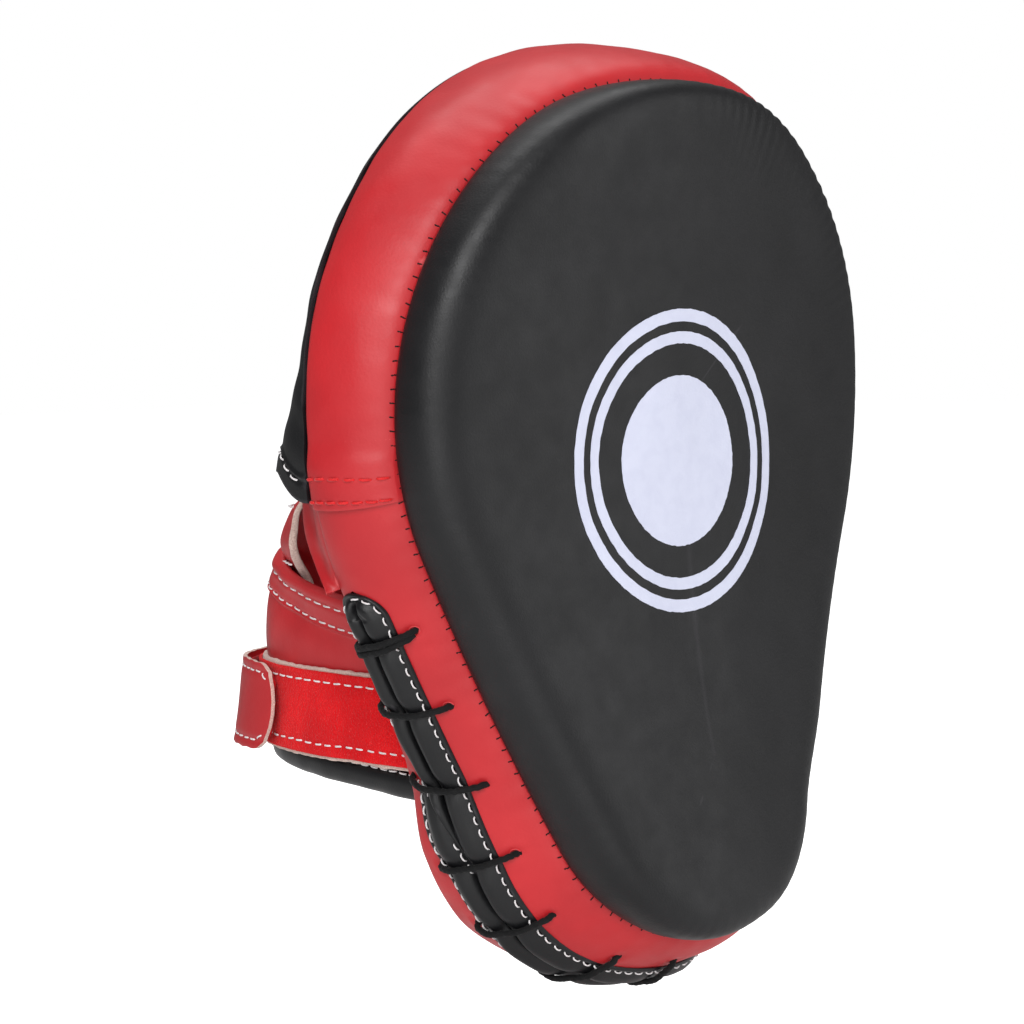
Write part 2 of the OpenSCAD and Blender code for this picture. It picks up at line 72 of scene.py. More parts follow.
# ---------------------------------------------------------------- driving sizes
FINGER_R = 89.5          # radius of the wide finger end, at the front seam
HEEL_R = 50.0            # radius of the heel end
SPACING = 94.5           # distance between their centres
TOP_Z = 45.0             # centre of the finger end
HEEL_Z = TOP_Z - SPACING
PAD_T = 45.0             # flat back to the middle of the face
HOLLOW_R = 400.0         # lengthwise hollow of the face
HOLLOW_Z = 33.0
CROWN_R = 600.0          # sideways crown of the face
SEAM_DROP = 21.5         # front seam behind the middle of the face
SEAM_RISE = 10.5         # how much nearer the face the seam is on the little-finger side
REAR_FLARE = 8.0         # rear rim outside the front seam
FRONT_FOAM = 14.0        # depth of the front foam's back under the face
CORE_FOAM = 30.0         # depth of the core foam's back under the face
SIDE_GAP = 6.5           # side cover and clearance outside the core foam
TUCK_DEPTH = 2.2         # how fast the wall swells out again behind a tucked seam
EDGE_W = 22.0            # width of the rounded edge of the face
EDGE_POWER = 3.8
LEATHER = 1.2
FLARE = np.arcsin((FINGER_R - HEEL_R) / SPACING)
JOIN_T = 0.052           # where the finger end band meets the heel band
SIDE_LEN = SPACING * np.cos(FLARE)
HEEL_LEN = HEEL_R * (np.pi - 2 * FLARE)
TOP_LEN = FINGER_R * (np.pi + 2 * FLARE)
RIM_LEN = np.array([TOP_LEN, SIDE_LEN, HEEL_LEN, SIDE_LEN])
CROSSINGS = (19.0, 39.5, 62.0, 84.5, 101.5, 121.5, 141.0)   # lace crossings, along the rim from t = 1
SKEWS = (1.6, -0.4, -1.2, 0.8, -0.4, -2.0, 0.5)      # how far each crossing slants, at its ends
SLOT_TOP, SLOT_END = 4.5, 157.0
FRONT_ROLL, REAR_ROLL = 7.8, 7.3
HOOD_TOP = TOP_Z + FINGER_R + REAR_FLARE - 1
HOOD_HEM = 22.0
HOOD_RISE = 53.0
CUFF_TOP, CUFF_TOP_RISE = -8.0, 16.0
CUFF_BOTTOM, CUFF_BOTTOM_RISE = -52.0, 4.5
CUFF_A, CUFF_B = 58.0, 87.0
SKIN = 0.3
STRAP_TOP, STRAP_W = -27.0, 24.5
STRAP_A, STRAP_B = CUFF_A + 4.6, CUFF_B + 5.6
ANCHOR_PHI, BEND_PHI, TIP_PHI, END_PHI = 168.0, 128.0, 42.0, 22.0
BALL_R, BALL_Z, BALL_RISE = 33.0, -22.0, 15.0
PRINT_RINGS = ((0.0, 22.9), (31.4, 34.6), (37.2, 40.6))


# ---------------------------------------------------------------- numbers
def smooth(x, low, high):
    """0 at low, 1 at high, and a smooth step between."""
    u = np.clip((np.asarray(x, float) - low) / (high - low), 0, 1)
    return u * u * (3 - 2 * u)


def bell(x, width):
    return np.exp(-(np.asarray(x, float) / width) ** 2)


def waves(u, v, size, seed, count=7):
    """Smooth, repeatable noise between about -1 and 1, with features of the given size."""
    draw = np.random.default_rng(seed)
    total = 0
    for _ in range(count):
        angle, k = draw.uniform(0, 2 * np.pi), 2 * np.pi / (size * draw.uniform(0.7, 1.7))
        total = total + np.sin(k * (np.cos(angle) * u + np.sin(angle) * v) + draw.uniform(0, 2 * np.pi))
    return total / (0.6 * count)


def unit(v):
    return v / np.maximum(np.linalg.norm(v, axis=-1, keepdims=True), 1e-9)


def lengths(path):
    return np.concatenate([[0], np.cumsum(np.linalg.norm(np.diff(path, axis=0), axis=1))])


def along(path, distances):
    """Points of a path at the given distances along it."""
    s = lengths(path[:, :3])
    return np.stack([np.interp(distances, s, path[:, k]) for k in range(path.shape[1])], axis=1)


def curve_through(points, per_span=10):
    """A smooth curve through the points."""
    p = np.asarray(points, float)
    p = np.concatenate([[2 * p[0] - p[1]], p, [2 * p[-1] - p[-2]]])
    u = np.linspace(0, 1, per_span, endpoint=False)[:, None]
    out = []
    for a, b, c, d in zip(p, p[1:], p[2:], p[3:]):
        out.append(0.5 * (2 * b + (c - a) * u + (2 * a - 5 * b + 4 * c - d) * u ** 2
                          + (3 * b - a - 3 * c + d) * u ** 3))
    return np.concatenate(out + [p[-2:-1]])


# ---------------------------------------------------------------- meshes
def normals_of(grid, closed=False):
    """Unit normals of a grid of points, rows by columns."""
    if closed:
        padded = np.concatenate([grid[:, -1:], grid, grid[:, :1]], axis=1)
        across = padded[:, 2:] - padded[:, :-2]
    else:
        across = np.gradient(grid, axis=1)
    return unit(np.cross(across, np.gradient(grid, axis=0)))


def quads(rows, cols, closed=False):
    i, j = np.meshgrid(np.arange(rows - 1), np.arange(cols if closed else cols - 1), indexing="ij")
    k = (j + 1) % cols
    return np.stack([i * cols + j, i * cols + k, (i + 1) * cols + k, (i + 1) * cols + j], axis=-1)


class Piece:
    """Collects points and faces, then becomes one Blender object."""

    def __init__(self, name):
        self.name, self.count = name, 0
        self.points, self.faces, self.looks = [], [], []

    def add(self, points, faces, look=0):
        points = np.asarray(points, float).reshape(-1, 3)
        self.points.append(points)
        self.faces += [[self.count + int(i) for i in face] for face in faces]
        self.looks += [look] * len(faces)
        self.count += len(points)
        return self

    def sheet(self, grid, away=None, closed=False, keep=None, look=0):
        """Adds a grid of points as a surface that faces away from a point."""
        rows, cols = grid.shape[:2]
        faces = quads(rows, cols, closed)
        if keep is not None:
            faces = faces[keep]
        faces = faces.reshape(-1, 4)
        if away is not None:
            facing = np.mean(np.sum(normals_of(grid, closed) * unit(grid - np.asarray(away, float)), axis=-1))
            if facing < 0:
                faces = faces[:, ::-1]
        return self.add(grid, faces.tolist(), look)

    def build(self, *materials, weld=0.0):
        mesh = bpy.data.meshes.new(self.name)
        mesh.from_pydata((np.concatenate(self.points) * MM).tolist(), [], self.faces)
        for material in materials:
            mesh.materials.append(material)
        mesh.polygons.foreach_set("material_index", self.looks)
        if weld:
            work = bmesh.new()
            work.from_mesh(mesh)
            bmesh.ops.remove_doubles(work, verts=work.verts, dist=weld * MM)
            work.to_mesh(mesh)
            work.free()
        mesh.polygons.foreach_set("use_smooth", [True] * len(mesh.polygons))
        mesh.update()
        piece = bpy.data.objects.new(self.name, mesh)
        bpy.context.scene.collection.objects.link(piece)
        return piece


def applied(piece):
    """Turns a piece's modifiers into its mesh."""
    bpy.context.view_layer.update()
    graph = bpy.context.evaluated_depsgraph_get()
    mesh = bpy.data.meshes.new_from_object(piece.evaluated_get(graph))
    piece.modifiers.clear()
    piece.data = mesh
    mesh.set_sharp_from_angle(angle=np.radians(62))
    return piece


def thicken(piece, thickness=LEATHER, rim=0, rounding=0.3):
    """Gives a surface its thickness, behind it, with softly rounded cut edges."""
    solid = piece.modifiers.new("thickness", "SOLIDIFY")
    solid.thickness = thickness * MM
    solid.offset = -1
    solid.material_offset_rim = rim
    if rounding:
        bevel = piece.modifiers.new("cut edges", "BEVEL")
        bevel.width = rounding * MM
        bevel.segments = 2
        bevel.limit_method = "ANGLE"
        bevel.angle_limit = np.radians(60)
    return applied(piece)


def sweep(piece, path, outs, section, scale=None, look=0, closed=False):
    """Adds a solid swept along a path. section holds (across, out) pairs, one list or one for each point."""
    path = np.asarray(path, float)
    if closed:
        ahead = unit(np.roll(path, -1, axis=0) - np.roll(path, 1, axis=0))
    else:
        ahead = unit(np.gradient(path, axis=0))
    across = unit(np.cross(ahead, outs))
    out = np.cross(across, ahead)
    section = np.asarray(section, float)
    if section.ndim == 2:
        section = np.broadcast_to(section, (len(path),) + section.shape)
    if scale is not None:
        section = section * np.asarray(scale, float).reshape(-1, 1, 1)
    rings = path[:, None] + section[..., :1] * across[:, None] + section[..., 1:] * out[:, None]
    rows, cols = rings.shape[:2]
    faces = quads(rows, cols, closed=True).reshape(-1, 4)[:, ::-1].tolist()
    last = (rows - 1) * cols
    if closed:
        faces += [[last + (j + 1) % cols, (j + 1) % cols, j, last + j] for j in range(cols)]
    else:
        faces += [list(range(cols)), [last + j for j in range(cols - 1, -1, -1)]]
    return piece.add(rings, faces, look)


def oval(width, height, sides=12, power=2.0):
    a = np.linspace(0, 2 * np.pi, sides, endpoint=False)
    c, s = np.cos(a), np.sin(a)
    return np.stack([width * np.sign(c) * np.abs(c) ** (2 / power),
                     height * np.sign(s) * np.abs(s) ** (2 / power)], axis=1)


def ready(piece, look, body, *nodes):
    """Attaches a finished piece to its body, or passes it to body when body is a function, and hides the CAD nodes
    that it stands for. look is not used.
    """
    if callable(body):
        body(piece)
    else:
        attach(piece, body)
    if nodes:
        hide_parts(*nodes)
    return piece


def stitches(name, rows, look, body="mitt", length=2.6, gap=1.15, radius=0.27, lift=0.05, wobble=0.3):
    """Running stitches along one or more rows, each row a path and its outward directions."""
    piece = Piece(name)
    draw = np.random.default_rng(sum(map(ord, name)))
    u = np.linspace(0, 1, 7)
    bow = np.sin(np.pi * u)
    for path, outs in rows:
        total = lengths(path)[-1]
        pitch = total / max(1, round(total / (length + gap)))
        for k in range(max(1, round(total / (length + gap)))):
            own = length * draw.uniform(0.9, 1.08)
            s = k * pitch + gap / 2 + draw.uniform(-0.12, 0.12) + u * own
            both = along(np.concatenate([path, np.broadcast_to(outs, path.shape)], axis=1), s)
            points, out = both[:, :3], unit(both[:, 3:])
            sideways = unit(np.cross(np.gradient(points, axis=0), out))
            height = (radius * 0.7 + lift) * bow ** 0.5 - radius * 1.6 * (1 - bow ** 0.35)
            skew = draw.uniform(-wobble, wobble) * (u - 0.5)
            sweep(piece, points + out * height[:, None] + sideways * skew[:, None], out,
                  oval(radius, radius * 0.8, 6))
    return ready(piece.build(LOOKS[look]), look, body)


# ---------------------------------------------------------------- the pad's surfaces
def rim(t):
    """Angle, centre height and radius of the pad's outline at t."""
    s = np.mod(t, 4)
    parts = [s < 1, s < 2, s < 3, s >= 3]
    angle = np.select(parts, [-FLARE + s * (np.pi + 2 * FLARE), np.pi + FLARE,
                              np.pi + FLARE + (s - 2) * (np.pi - 2 * FLARE), -FLARE])
    centre = np.select(parts, [TOP_Z, TOP_Z - SPACING * (s - 1), HEEL_Z, HEEL_Z + SPACING * (s - 3)])
    radius = np.select(parts, [FINGER_R, FINGER_R + (HEEL_R - FINGER_R) * (s - 1), HEEL_R,
                               HEEL_R + (FINGER_R - HEEL_R) * (s - 3)])
    return angle, centre, radius


def rim_out(t):
    angle = rim(t)[0]
    return np.stack([np.cos(angle), 0 * angle, np.sin(angle)], axis=-1)


def rim_point(t, grow, y):
    angle, centre, radius = rim(t)
    t, grow, y = np.broadcast_arrays(t, grow, y)
    return np.stack([(radius + grow) * np.cos(angle), y + 0.0, (radius + grow) * np.sin(angle) + centre], axis=-1)


def hollow_y(z):
    return -(z - HOLLOW_Z) ** 2 / (2 * HOLLOW_R)


def face_y(x, z):
    return -PAD_T + hollow_y(z) + x * x / (2 * CROWN_R)


def seam_y(t):
    """Height of the front seam, which keeps nearer the face on the little-finger side."""
    at = rim_point(t, 0, 0)
    return -PAD_T + SEAM_DROP - SEAM_RISE * smooth(at[..., 0] / FINGER_R, -0.5, 0.35) + hollow_y(at[..., 2])


def seam_tuck(t):
    """How far the front seam is drawn inside the rim, at the two corners on the little-finger side."""
    t = t % 4
    top = 3.8 * smooth(t, 0.66, 0.47) * smooth(t, 0.16, 0.34)
    return top + 3.2 * smooth(t, 2.3, 2.62) * smooth(t, 3.35, 3.0)


def wall_grow(t, y):
    """How far the side wall stands outside the front seam's outline."""
    v = np.clip(1 - y / seam_y(t), 0, 1)
    heel = np.maximum(0, -np.sin(rim(t)[0])) ** 2
    at = rim_point(t, 0, 0)
    corner = 5.5 * smooth(np.abs(at[..., 0]), 5, 38) * smooth(-at[..., 2], 45, 68)
    return (REAR_FLARE + corner) * v + (4 + 5 * heel) * 4 * v * (1 - v)


def wall_point(t, y, out):
    return rim_point(t, wall_grow(t, y) + out, y)


def rim_at(s):
    """t at a distance s along the outline, where t = 1 is 0."""
    marks = np.cumsum([-TOP_LEN, TOP_LEN, SIDE_LEN, HEEL_LEN, SIDE_LEN, TOP_LEN])
    return np.interp(s, marks, np.arange(6.0))


def slot_y(t):
    """Height of the middle of the lacing slot."""
    return seam_y(t) * (0.32 + 0.19 * (t - 1.2))


def slot_point(s, offset, out):
    """A point of the lacing: s along the rim, offset from the middle of the slot towards the back."""
    t = rim_at(s)
    return wall_point(t, slot_y(t) + offset, out)


# ---------------------------------------------------------------- the glove's surfaces
def arch(a, b, power, phi, z):
    """An arch over the back: phi 0 is its left foot, 90 the back of the hand and 180 the right foot."""
    a, b, phi, z, power = np.broadcast_arrays(a, b, np.radians(phi), z, power)
    c, s = np.cos(phi), np.sin(phi)
    return np.stack([-a * np.sign(c) * np.abs(c) ** (2 / power), b * np.abs(s) ** (2 / power) + SKIN, z + 0.0],
                    axis=-1)


def hood_point(phi, z, grow=0.0):
    u = np.clip((HOOD_TOP - z) / (HOOD_TOP - HOOD_HEM), 0, 1)
    b = HOOD_RISE * (0.48 * np.sqrt(u) + 0.52 * u ** 5)
    wide = FINGER_R + REAR_FLARE
    a = np.where(z > TOP_Z, np.sqrt(np.maximum(0, wide ** 2 - (z - TOP_Z) ** 2)), wide - (TOP_Z - z) ** 2 / 250)
    return arch(a + grow, b + grow, 1.7 + 0.5 * smooth(-z, -75, -30), phi, z)


def cuff_point(phi, z, grow=0.0):
    wide = np.maximum(0, (z + 27) / 31)
    return arch(CUFF_A + 4 * wide + grow, CUFF_B - 13 * wide ** 2 + grow, 3.4, phi, z)


def cuff_rise(phi):
    return np.abs(np.sin(np.radians(phi))) ** (2 / 3.4)


def cuff_top(phi):
    return CUFF_TOP + CUFF_TOP_RISE * cuff_rise(phi) ** 2


def cuff_bottom(phi):
    return CUFF_BOTTOM + CUFF_BOTTOM_RISE * cuff_rise(phi)


PANEL_LEVELS = np.array([
    [60, 58, 20], [44, 61, 26], [32, 64, 36], [26, 67, 50], [22, 69.5, 57], [17, 71, 63], [11, 71.5, 67.5],
    [5, 69, 71], [-2.5, 60.5, 73.5], [-12, 56, 75]
], float)


def panel_point(phi, v, grow=0.0):
    """A point of the finger panel, v from 0 inside the hood to 1 inside the cuff."""
    path = curve_through(PANEL_LEVELS, 12)
    level = np.stack([np.interp(v, lengths(path) / lengths(path)[-1], path[:, k]) for k in range(3)], axis=-1)
    return arch(level[..., 1] + grow, level[..., 2] + grow - SKIN, 3, phi, level[..., 0])


def strap_point(phi, z, grow=0.0):
    return arch(STRAP_A + grow, STRAP_B + grow, 3.8, phi, z)


def even_phis(point, low, high, step):
    """Angles round an arch that are about step apart along it."""
    fine = np.linspace(low, high, 1500)
    s = lengths(point(fine))
    return np.interp(np.linspace(0, s[-1], int(s[-1] / step) + 1), s, fine)


# ---------------------------------------------------------------- materials
def linear(r, g, b):
    """A colour given as 0 to 255 sRGB."""
    c = np.array([r, g, b]) / 255
    return (*np.where(c <= 0.04045, c / 12.92, ((c + 0.055) / 1.055) ** 2.4).tolist(), 1.0)


class Look:
    """One material and its nodes, whose texture coordinates are millimetres."""

    def __init__(self, name):
        self.material = bpy.data.materials.new(name)
        self.material.use_nodes = True
        self.tree = self.material.node_tree
        self.shader = next(n for n in self.tree.nodes if n.type == "BSDF_PRINCIPLED")
        coords = self.tree.nodes.new("ShaderNodeTexCoord")
        self.mm = self.node("ShaderNodeVectorMath", {"Vector": coords.outputs["Object"]}, operation="SCALE")
        self.mm.node.inputs["Scale"].default_value = 1 / MM

    def put(self, socket, value):
        if isinstance(value, bpy.types.NodeSocket):
            self.tree.links.new(value, socket)
        else:
            socket.default_value = value

    def node(self, kind, inputs=None, output=0, **options):
        made = self.tree.nodes.new(kind)
        for key, value in options.items():
            setattr(made, key, value)
        for key, value in (inputs or {}).items():
            self.put(made.inputs[key], value)
        return made.outputs[output]

    def noise(self, size, detail=2.0, distortion=0.0, stretch=None):
        where = self.mm if stretch is None else self.node(
            "ShaderNodeVectorMath", {0: self.mm, 1: stretch}, operation="MULTIPLY")
        return self.node("ShaderNodeTexNoise", {"Vector": where, "Scale": 1 / size, "Detail": detail,
                                                "Distortion": distortion})

    def cells(self, size, feature="F1"):
        return self.node("ShaderNodeTexVoronoi", {"Vector": self.mm, "Scale": 1 / size}, feature=feature)

    def span(self, value, low, high, to_low=0.0, to_high=1.0):
        return self.node("ShaderNodeMapRange", {"Value": value, "From Min": low, "From Max": high,
                                                "To Min": to_low, "To Max": to_high})

    def mix(self, factor, first, second):
        made = self.tree.nodes.new("ShaderNodeMix")
        made.data_type = "RGBA"
        self.put(made.inputs["Factor"], factor)
        colours = [s for s in made.inputs if s.type == "RGBA"]
        self.put(colours[0], first)
        self.put(colours[1], second)
        return next(s for s in made.outputs if s.type == "RGBA")

    def bump(self, height, depth, strength, below=None):
        inputs = {"Height": height, "Distance": depth * MM, "Strength": strength}
        if below is not None:
            inputs["Normal"] = below
        return self.node("ShaderNodeBump", inputs)

    def painted_edge_highlight(self):
        """1 on sharp outer edges, which get the painted highlight."""
        return self.span(self.node("ShaderNodeNewGeometry", output="Pointiness"), 0.52, 0.62)

    def finish(self, colour, roughness, normal, **constants):
        self.put(self.shader.inputs["Base Color"], colour)
        self.put(self.shader.inputs["Roughness"], roughness)
        self.put(self.shader.inputs["Normal"], normal)
        for key, value in constants.items():
            self.shader.inputs[key.replace("_", " ")].default_value = value
        return self.material


def leather(name, colour, deep, painted_edge_highlight, rough, grain=0.75, grain_depth=0.05, specular=0.45, coat=0.0):
    """Smooth coated leather: pebbled grain, fine wrinkles, uneven colour and a painted highlight on sharp edges."""
    look = Look(name)
    broad, blotch, crease = look.noise(38, 3), look.noise(7, 4), look.noise(2.6, 6, 1.4)
    base = look.mix(look.span(broad, 0.32, 0.68), colour, deep)
    base = look.mix(look.span(blotch, 0.35, 0.75, 0.0, 0.22), base, deep)
    # Painted highlight: sharp outer edges are mixed halfway towards a lighter colour.
    base = look.mix(look.node("ShaderNodeMath", {0: look.painted_edge_highlight(), 1: 0.5}, operation="MULTIPLY"), base, painted_edge_highlight)
    rough_map = look.span(blotch, 0.3, 0.7, rough - 0.05, rough + 0.07)
    pebbles = look.bump(look.cells(grain), grain_depth, 0.55)
    wrinkled = look.bump(crease, grain_depth * 1.6, 0.45, pebbles)
    soft = look.bump(look.noise(9, 2, 0.6), 0.5, 0.10, wrinkled)
    return look.finish(base, rough_map, soft, Specular_IOR_Level=specular, Coat_Weight=coat, Coat_Roughness=0.3)


def pile(name, colour, deep, painted_glint):
    """The short looped pile of loop tape, with painted glints."""
    look = Look(name)
    loops, tufts = look.cells(0.55), look.noise(0.9, 4)
    base = look.mix(look.span(look.noise(14, 3), 0.35, 0.65), colour, deep)
    base = look.mix(look.span(loops, 0.25, 0.6, 0.0, 0.55), base, deep)
    # Painted glints: tiny bright dots where the pile catches the light.
    base = look.mix(look.span(look.noise(0.5, 2), 0.66, 0.74, 0.0, 0.6), base, painted_glint)
    normal = look.bump(tufts, 0.35, 0.7, look.bump(loops, 0.3, 0.8))
    return look.finish(base, 0.88, normal, Sheen_Weight=0.08, Sheen_Roughness=0.5, Specular_IOR_Level=0.08)


def thread(name, colour, deep):
    """Twisted sewing thread."""
    look = Look(name)
    twist = look.noise(0.22, 3, 0.8)
    base = look.mix(look.span(twist, 0.35, 0.65), colour, deep)
    return look.finish(base, 0.55, look.bump(twist, 0.06, 0.8), Sheen_Weight=0.15, Specular_IOR_Level=0.35)


def fibres(name, colour, deep, size, depth, rough, sheen=0.3):
    """A fuzzy or open surface, such as a cut leather edge, cord or foam."""
    look = Look(name)
    fuzz, blotch = look.noise(size, 5, 1.0), look.noise(size * 9, 3)
    base = look.mix(look.span(fuzz, 0.35, 0.68), colour, deep)
    base = look.mix(look.span(blotch, 0.4, 0.7, 0.0, 0.4), base, deep)
    return look.finish(base, look.span(blotch, 0.3, 0.7, rough - 0.05, rough + 0.05),
                       look.bump(fuzz, depth, 0.9), Sheen_Weight=sheen, Specular_IOR_Level=0.25)


def ink(name, colour, deep):
    """Screen-printed ink that the leather's grain shows through."""
    look = Look(name)
    patchy = look.noise(5, 5, 0.5)
    base = look.mix(look.span(patchy, 0.4, 0.75), colour, deep)
    normal = look.bump(look.noise(2.6, 6, 1.4), 0.08, 0.4, look.bump(look.cells(0.75), 0.04, 0.5))
    return look.finish(base, look.span(patchy, 0.3, 0.7, 0.5, 0.62), normal, Specular_IOR_Level=0.35)


def woven(name, colour, deep):
    """The cuff's knitted lining."""
    look = Look(name)
    ribs = look.node("ShaderNodeTexWave", {"Vector": look.mm, "Scale": 0.55, "Distortion": 1.5, "Detail": 2.0},
                     bands_direction="DIAGONAL")
    base = look.mix(look.span(ribs, 0.2, 0.8), colour, deep)
    base = look.mix(look.span(look.noise(11, 3), 0.4, 0.7, 0.0, 0.4), base, deep)
    return look.finish(base, 0.82, look.bump(look.noise(0.5, 3), 0.1, 0.6, look.bump(ribs, 0.25, 0.6)),
                       Sheen_Weight=0.25, Specular_IOR_Level=0.2)


LOOKS = {
    # The third colour of each leather is its painted edge highlight.
    "red_leather": leather("red_leather", linear(196, 36, 42), linear(176, 27, 34), linear(222, 100, 102), 0.44,
                           grain_depth=0.035),
    "black_leather": leather("black_leather", linear(21, 21, 23), linear(15, 15, 17), linear(50, 48, 52), 0.44,
                             grain=0.6, grain_depth=0.05, specular=0.36),
    "black_binding": leather("black_binding", linear(17, 17, 19), linear(11, 11, 13), linear(58, 56, 60), 0.36,
                             grain=0.6, grain_depth=0.03, specular=0.38),
    "white_print": ink("white_print", linear(206, 209, 228), linear(200, 203, 223)),
    "foam": fibres("foam", linear(120, 120, 124), linear(86, 86, 92), 0.9, 0.3, 0.9),
    "lining": woven("lining", linear(58, 58, 62), linear(38, 38, 42)),
    # The third colour of each tape is its painted glint.
    "loop_tape": pile("loop_tape", linear(240, 24, 30), linear(208, 14, 22), linear(250, 92, 92)),
    "hook_tape": pile("hook_tape", linear(196, 20, 26), linear(150, 10, 18), linear(238, 80, 80)),
    "black_cord": fibres("black_cord", linear(15, 15, 16), linear(8, 8, 9), 0.3, 0.1, 0.8, 0.05),
    "white_thread": thread("white_thread", linear(242, 238, 238), linear(206, 200, 202)),
    "red_thread": thread("red_thread", linear(226, 22, 26), linear(180, 10, 16)),
    "raw_edge": fibres("raw_edge", linear(226, 204, 192), linear(188, 158, 148), 0.45, 0.25, 0.9),
}
RED, BLACK, BINDING, RAW = (LOOKS[k] for k in ("red_leather", "black_leather", "black_binding", "raw_edge"))


# ---------------------------------------------------------------- striking face
GROOVE = 1.2             # how deep the leather turns in at the front seam


def gathers(s, seed, pitch=6.0):
    """Small uneven ridges along a gathered seam."""
    drift = waves(s, 0 * s, 45, seed)
    return np.sin(2 * np.pi * s / pitch + 2.4 * drift) * (0.55 + 0.45 * waves(s, 0 * s, 28, seed + 1))


def face_swell(x, z):
    """Gentle unevenness of the padded face."""
    return 0.30 * waves(x, z, 44, 3) + 0.12 * waves(x, z, 15, 4)


def face_surface(s, under=0.0):
    """The padded face from its seam to the spine, or a surface that lies under it. Also gives the rim's t."""
    t = rim_at(s)
    at_rim = rim_point(t, -seam_tuck(t), 0)
    drop = seam_y(t) - face_y(at_rim[:, 0], at_rim[:, 2])
    lean = np.pi / 2 * np.linspace(0, 1, 36)[:, None] ** 1.9
    depth = np.concatenate([EDGE_W * (1 - np.cos(lean) ** (2 / EDGE_POWER)) + 0 * t,
                            EDGE_W + (rim(t)[2] - EDGE_W) * np.linspace(0, 1, 30)[1:, None]])
    share = np.concatenate([np.sin(lean) ** (2 / EDGE_POWER) + 0 * t, np.ones((29, len(t)))])
    grid = rim_point(t, -depth - seam_tuck(t) * (1 - smooth(depth, 0, 30)), 0)
    x, z = grid[..., 0], grid[..., 2]
    grid[..., 1] = face_y(x, z) + drop * (1 - share)
    from_seam = np.abs(share * drop)
    normal = normals_of(grid, closed=True)
    normal *= np.sign(np.sum(normal * (grid - [0, 0, 0]), axis=-1, keepdims=True))
    normal[-3:] = [0, -1, 0]
    gathered = 0.15 + 0.75 * smooth(at_rim[:, 0], -20, 40) * smooth(at_rim[:, 2], 60, 110)
    ridges = 0.22 * gathers(s, 11, 5.0) * gathered * np.exp(-depth / 9) * (1 - np.exp(-from_seam / 1.2))
    lift = ridges + face_swell(x, z) * smooth(depth, 1, 26) - under
    grid = grid + normal * lift[..., None]
    grid = grid - rim_out(t) * (GROOVE * np.exp(-from_seam / 1.0))[..., None]
    return grid, t


def striking_face():
    grid, t = face_surface(np.linspace(-TOP_LEN, sum(RIM_LEN[1:]), 760, endpoint=False))
    tuck = rim_point(t, -GROOVE - 2.5 - seam_tuck(t), seam_y(t) - 0.2)[None]
    grid = np.concatenate([tuck, grid])
    piece = Piece("face_leather").sheet(grid, away=(0, 10, 20), closed=True).build(BLACK, weld=0.02)
    ready(thicken(piece, rounding=0), "black_leather", "mitt", "face_panel")


def foam_piece(name, rows, node):
    made = Piece(name).sheet(np.concatenate(rows), away=None, closed=True).build(LOOKS["foam"], weld=0.02)
    close_holes(made)
    ready(made, "foam", "mitt", node)


def pad_foam():
    """The front and core foam, which are pressed in with the covers along the seam."""
    front, t = face_surface(np.linspace(-TOP_LEN, sum(RIM_LEN[1:]), 240, endpoint=False), 2.0)
    back = front[::-1].copy()
    back[..., 1] = np.maximum(back[..., 1], face_y(back[..., 0], back[..., 2]) + FRONT_FOAM)
    foam_piece("front_padding", [front, back], "front_foam")
    seam, end = seam_y(t), -PAD_T + CORE_FOAM + 0.5 * hollow_y(rim_point(t, 0, 0)[..., 2])
    sides = [wall_point(t, y, -SIDE_GAP - seam_tuck(t) * np.exp(-(y - seam) / TUCK_DEPTH))
             for y in (seam + (end - seam) * v for v in np.linspace(0.15, 1, 12))]
    under = front.copy()
    under[..., 1] = -PAD_T + CORE_FOAM + 0.5 * hollow_y(under[..., 2])
    foam_piece("core_padding", [back + [0, SKIN, 0], np.stack(sides), under], "core_foam")


def target():
    """The printed disc and rings, which lie on the face's own unevenness."""
    phi = np.linspace(0, 2 * np.pi, 240, endpoint=False)
    centre = node_middle("target_print")
    piece = Piece("target_ink")
    for k, (inner, outer) in enumerate(PRINT_RINGS):
        steps = np.linspace(0, 1, max(4, int((outer - inner) / 1.2)))[:, None]
        ragged = [0.10 * waves(60 * np.cos(phi), 60 * np.sin(phi), 5, 30 + 2 * k + side) for side in (0, 1)]
        r = (inner + (ragged[0] if inner else 0.3)) * (1 - steps) + (outer + ragged[1]) * steps
        x, z = centre[0] + r * np.cos(phi), centre[2] + r * np.sin(phi)
        y = face_y(x, z) - face_swell(x, z) - 0.16
        piece.sheet(np.stack([x, y, z], axis=-1), away=(0, 0, 30), closed=True)
        if not inner:
            piece.add([np.mean(np.stack([x[0], y[0], z[0]], axis=-1), axis=0)], [])
            first = piece.count - 1 - x.size
            hub = piece.count - 1
            piece.faces += [[hub, first + (j + 1) % len(phi), first + j] for j in range(len(phi))]
            piece.looks += [0] * len(phi)
    ready(thicken(piece.build(LOOKS["white_print"]), 0.12, rounding=0), "white_print", "mitt", "target_print")


def node_middle(name):
    low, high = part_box(name)
    return (np.array(low) + np.array(high)) / 2 / MM


# ---------------------------------------------------------------- side wall
CAP_R = 7.6              # rounded top end of the lacing slot
TAPER_FROM = 130.0
LACE_R = 0.85
HOLE_FRONT = 11.2        # lace holes, from the middle of the slot
HOLE_REAR = 9.6


def rear_hole(s):
    """The rear holes keep in front of the rim of the back."""
    return np.minimum(HOLE_REAR, -slot_y(rim_at(s)) - 0.9)


def holes():
    """Distance along the rim and offset from the slot of each lace hole."""
    crossings = list(zip(CROSSINGS, SKEWS))
    return [(a - skew, -HOLE_FRONT) for a, skew in crossings] + [(a + skew, float(rear_hole(a)))
                                                                 for a, skew in crossings]


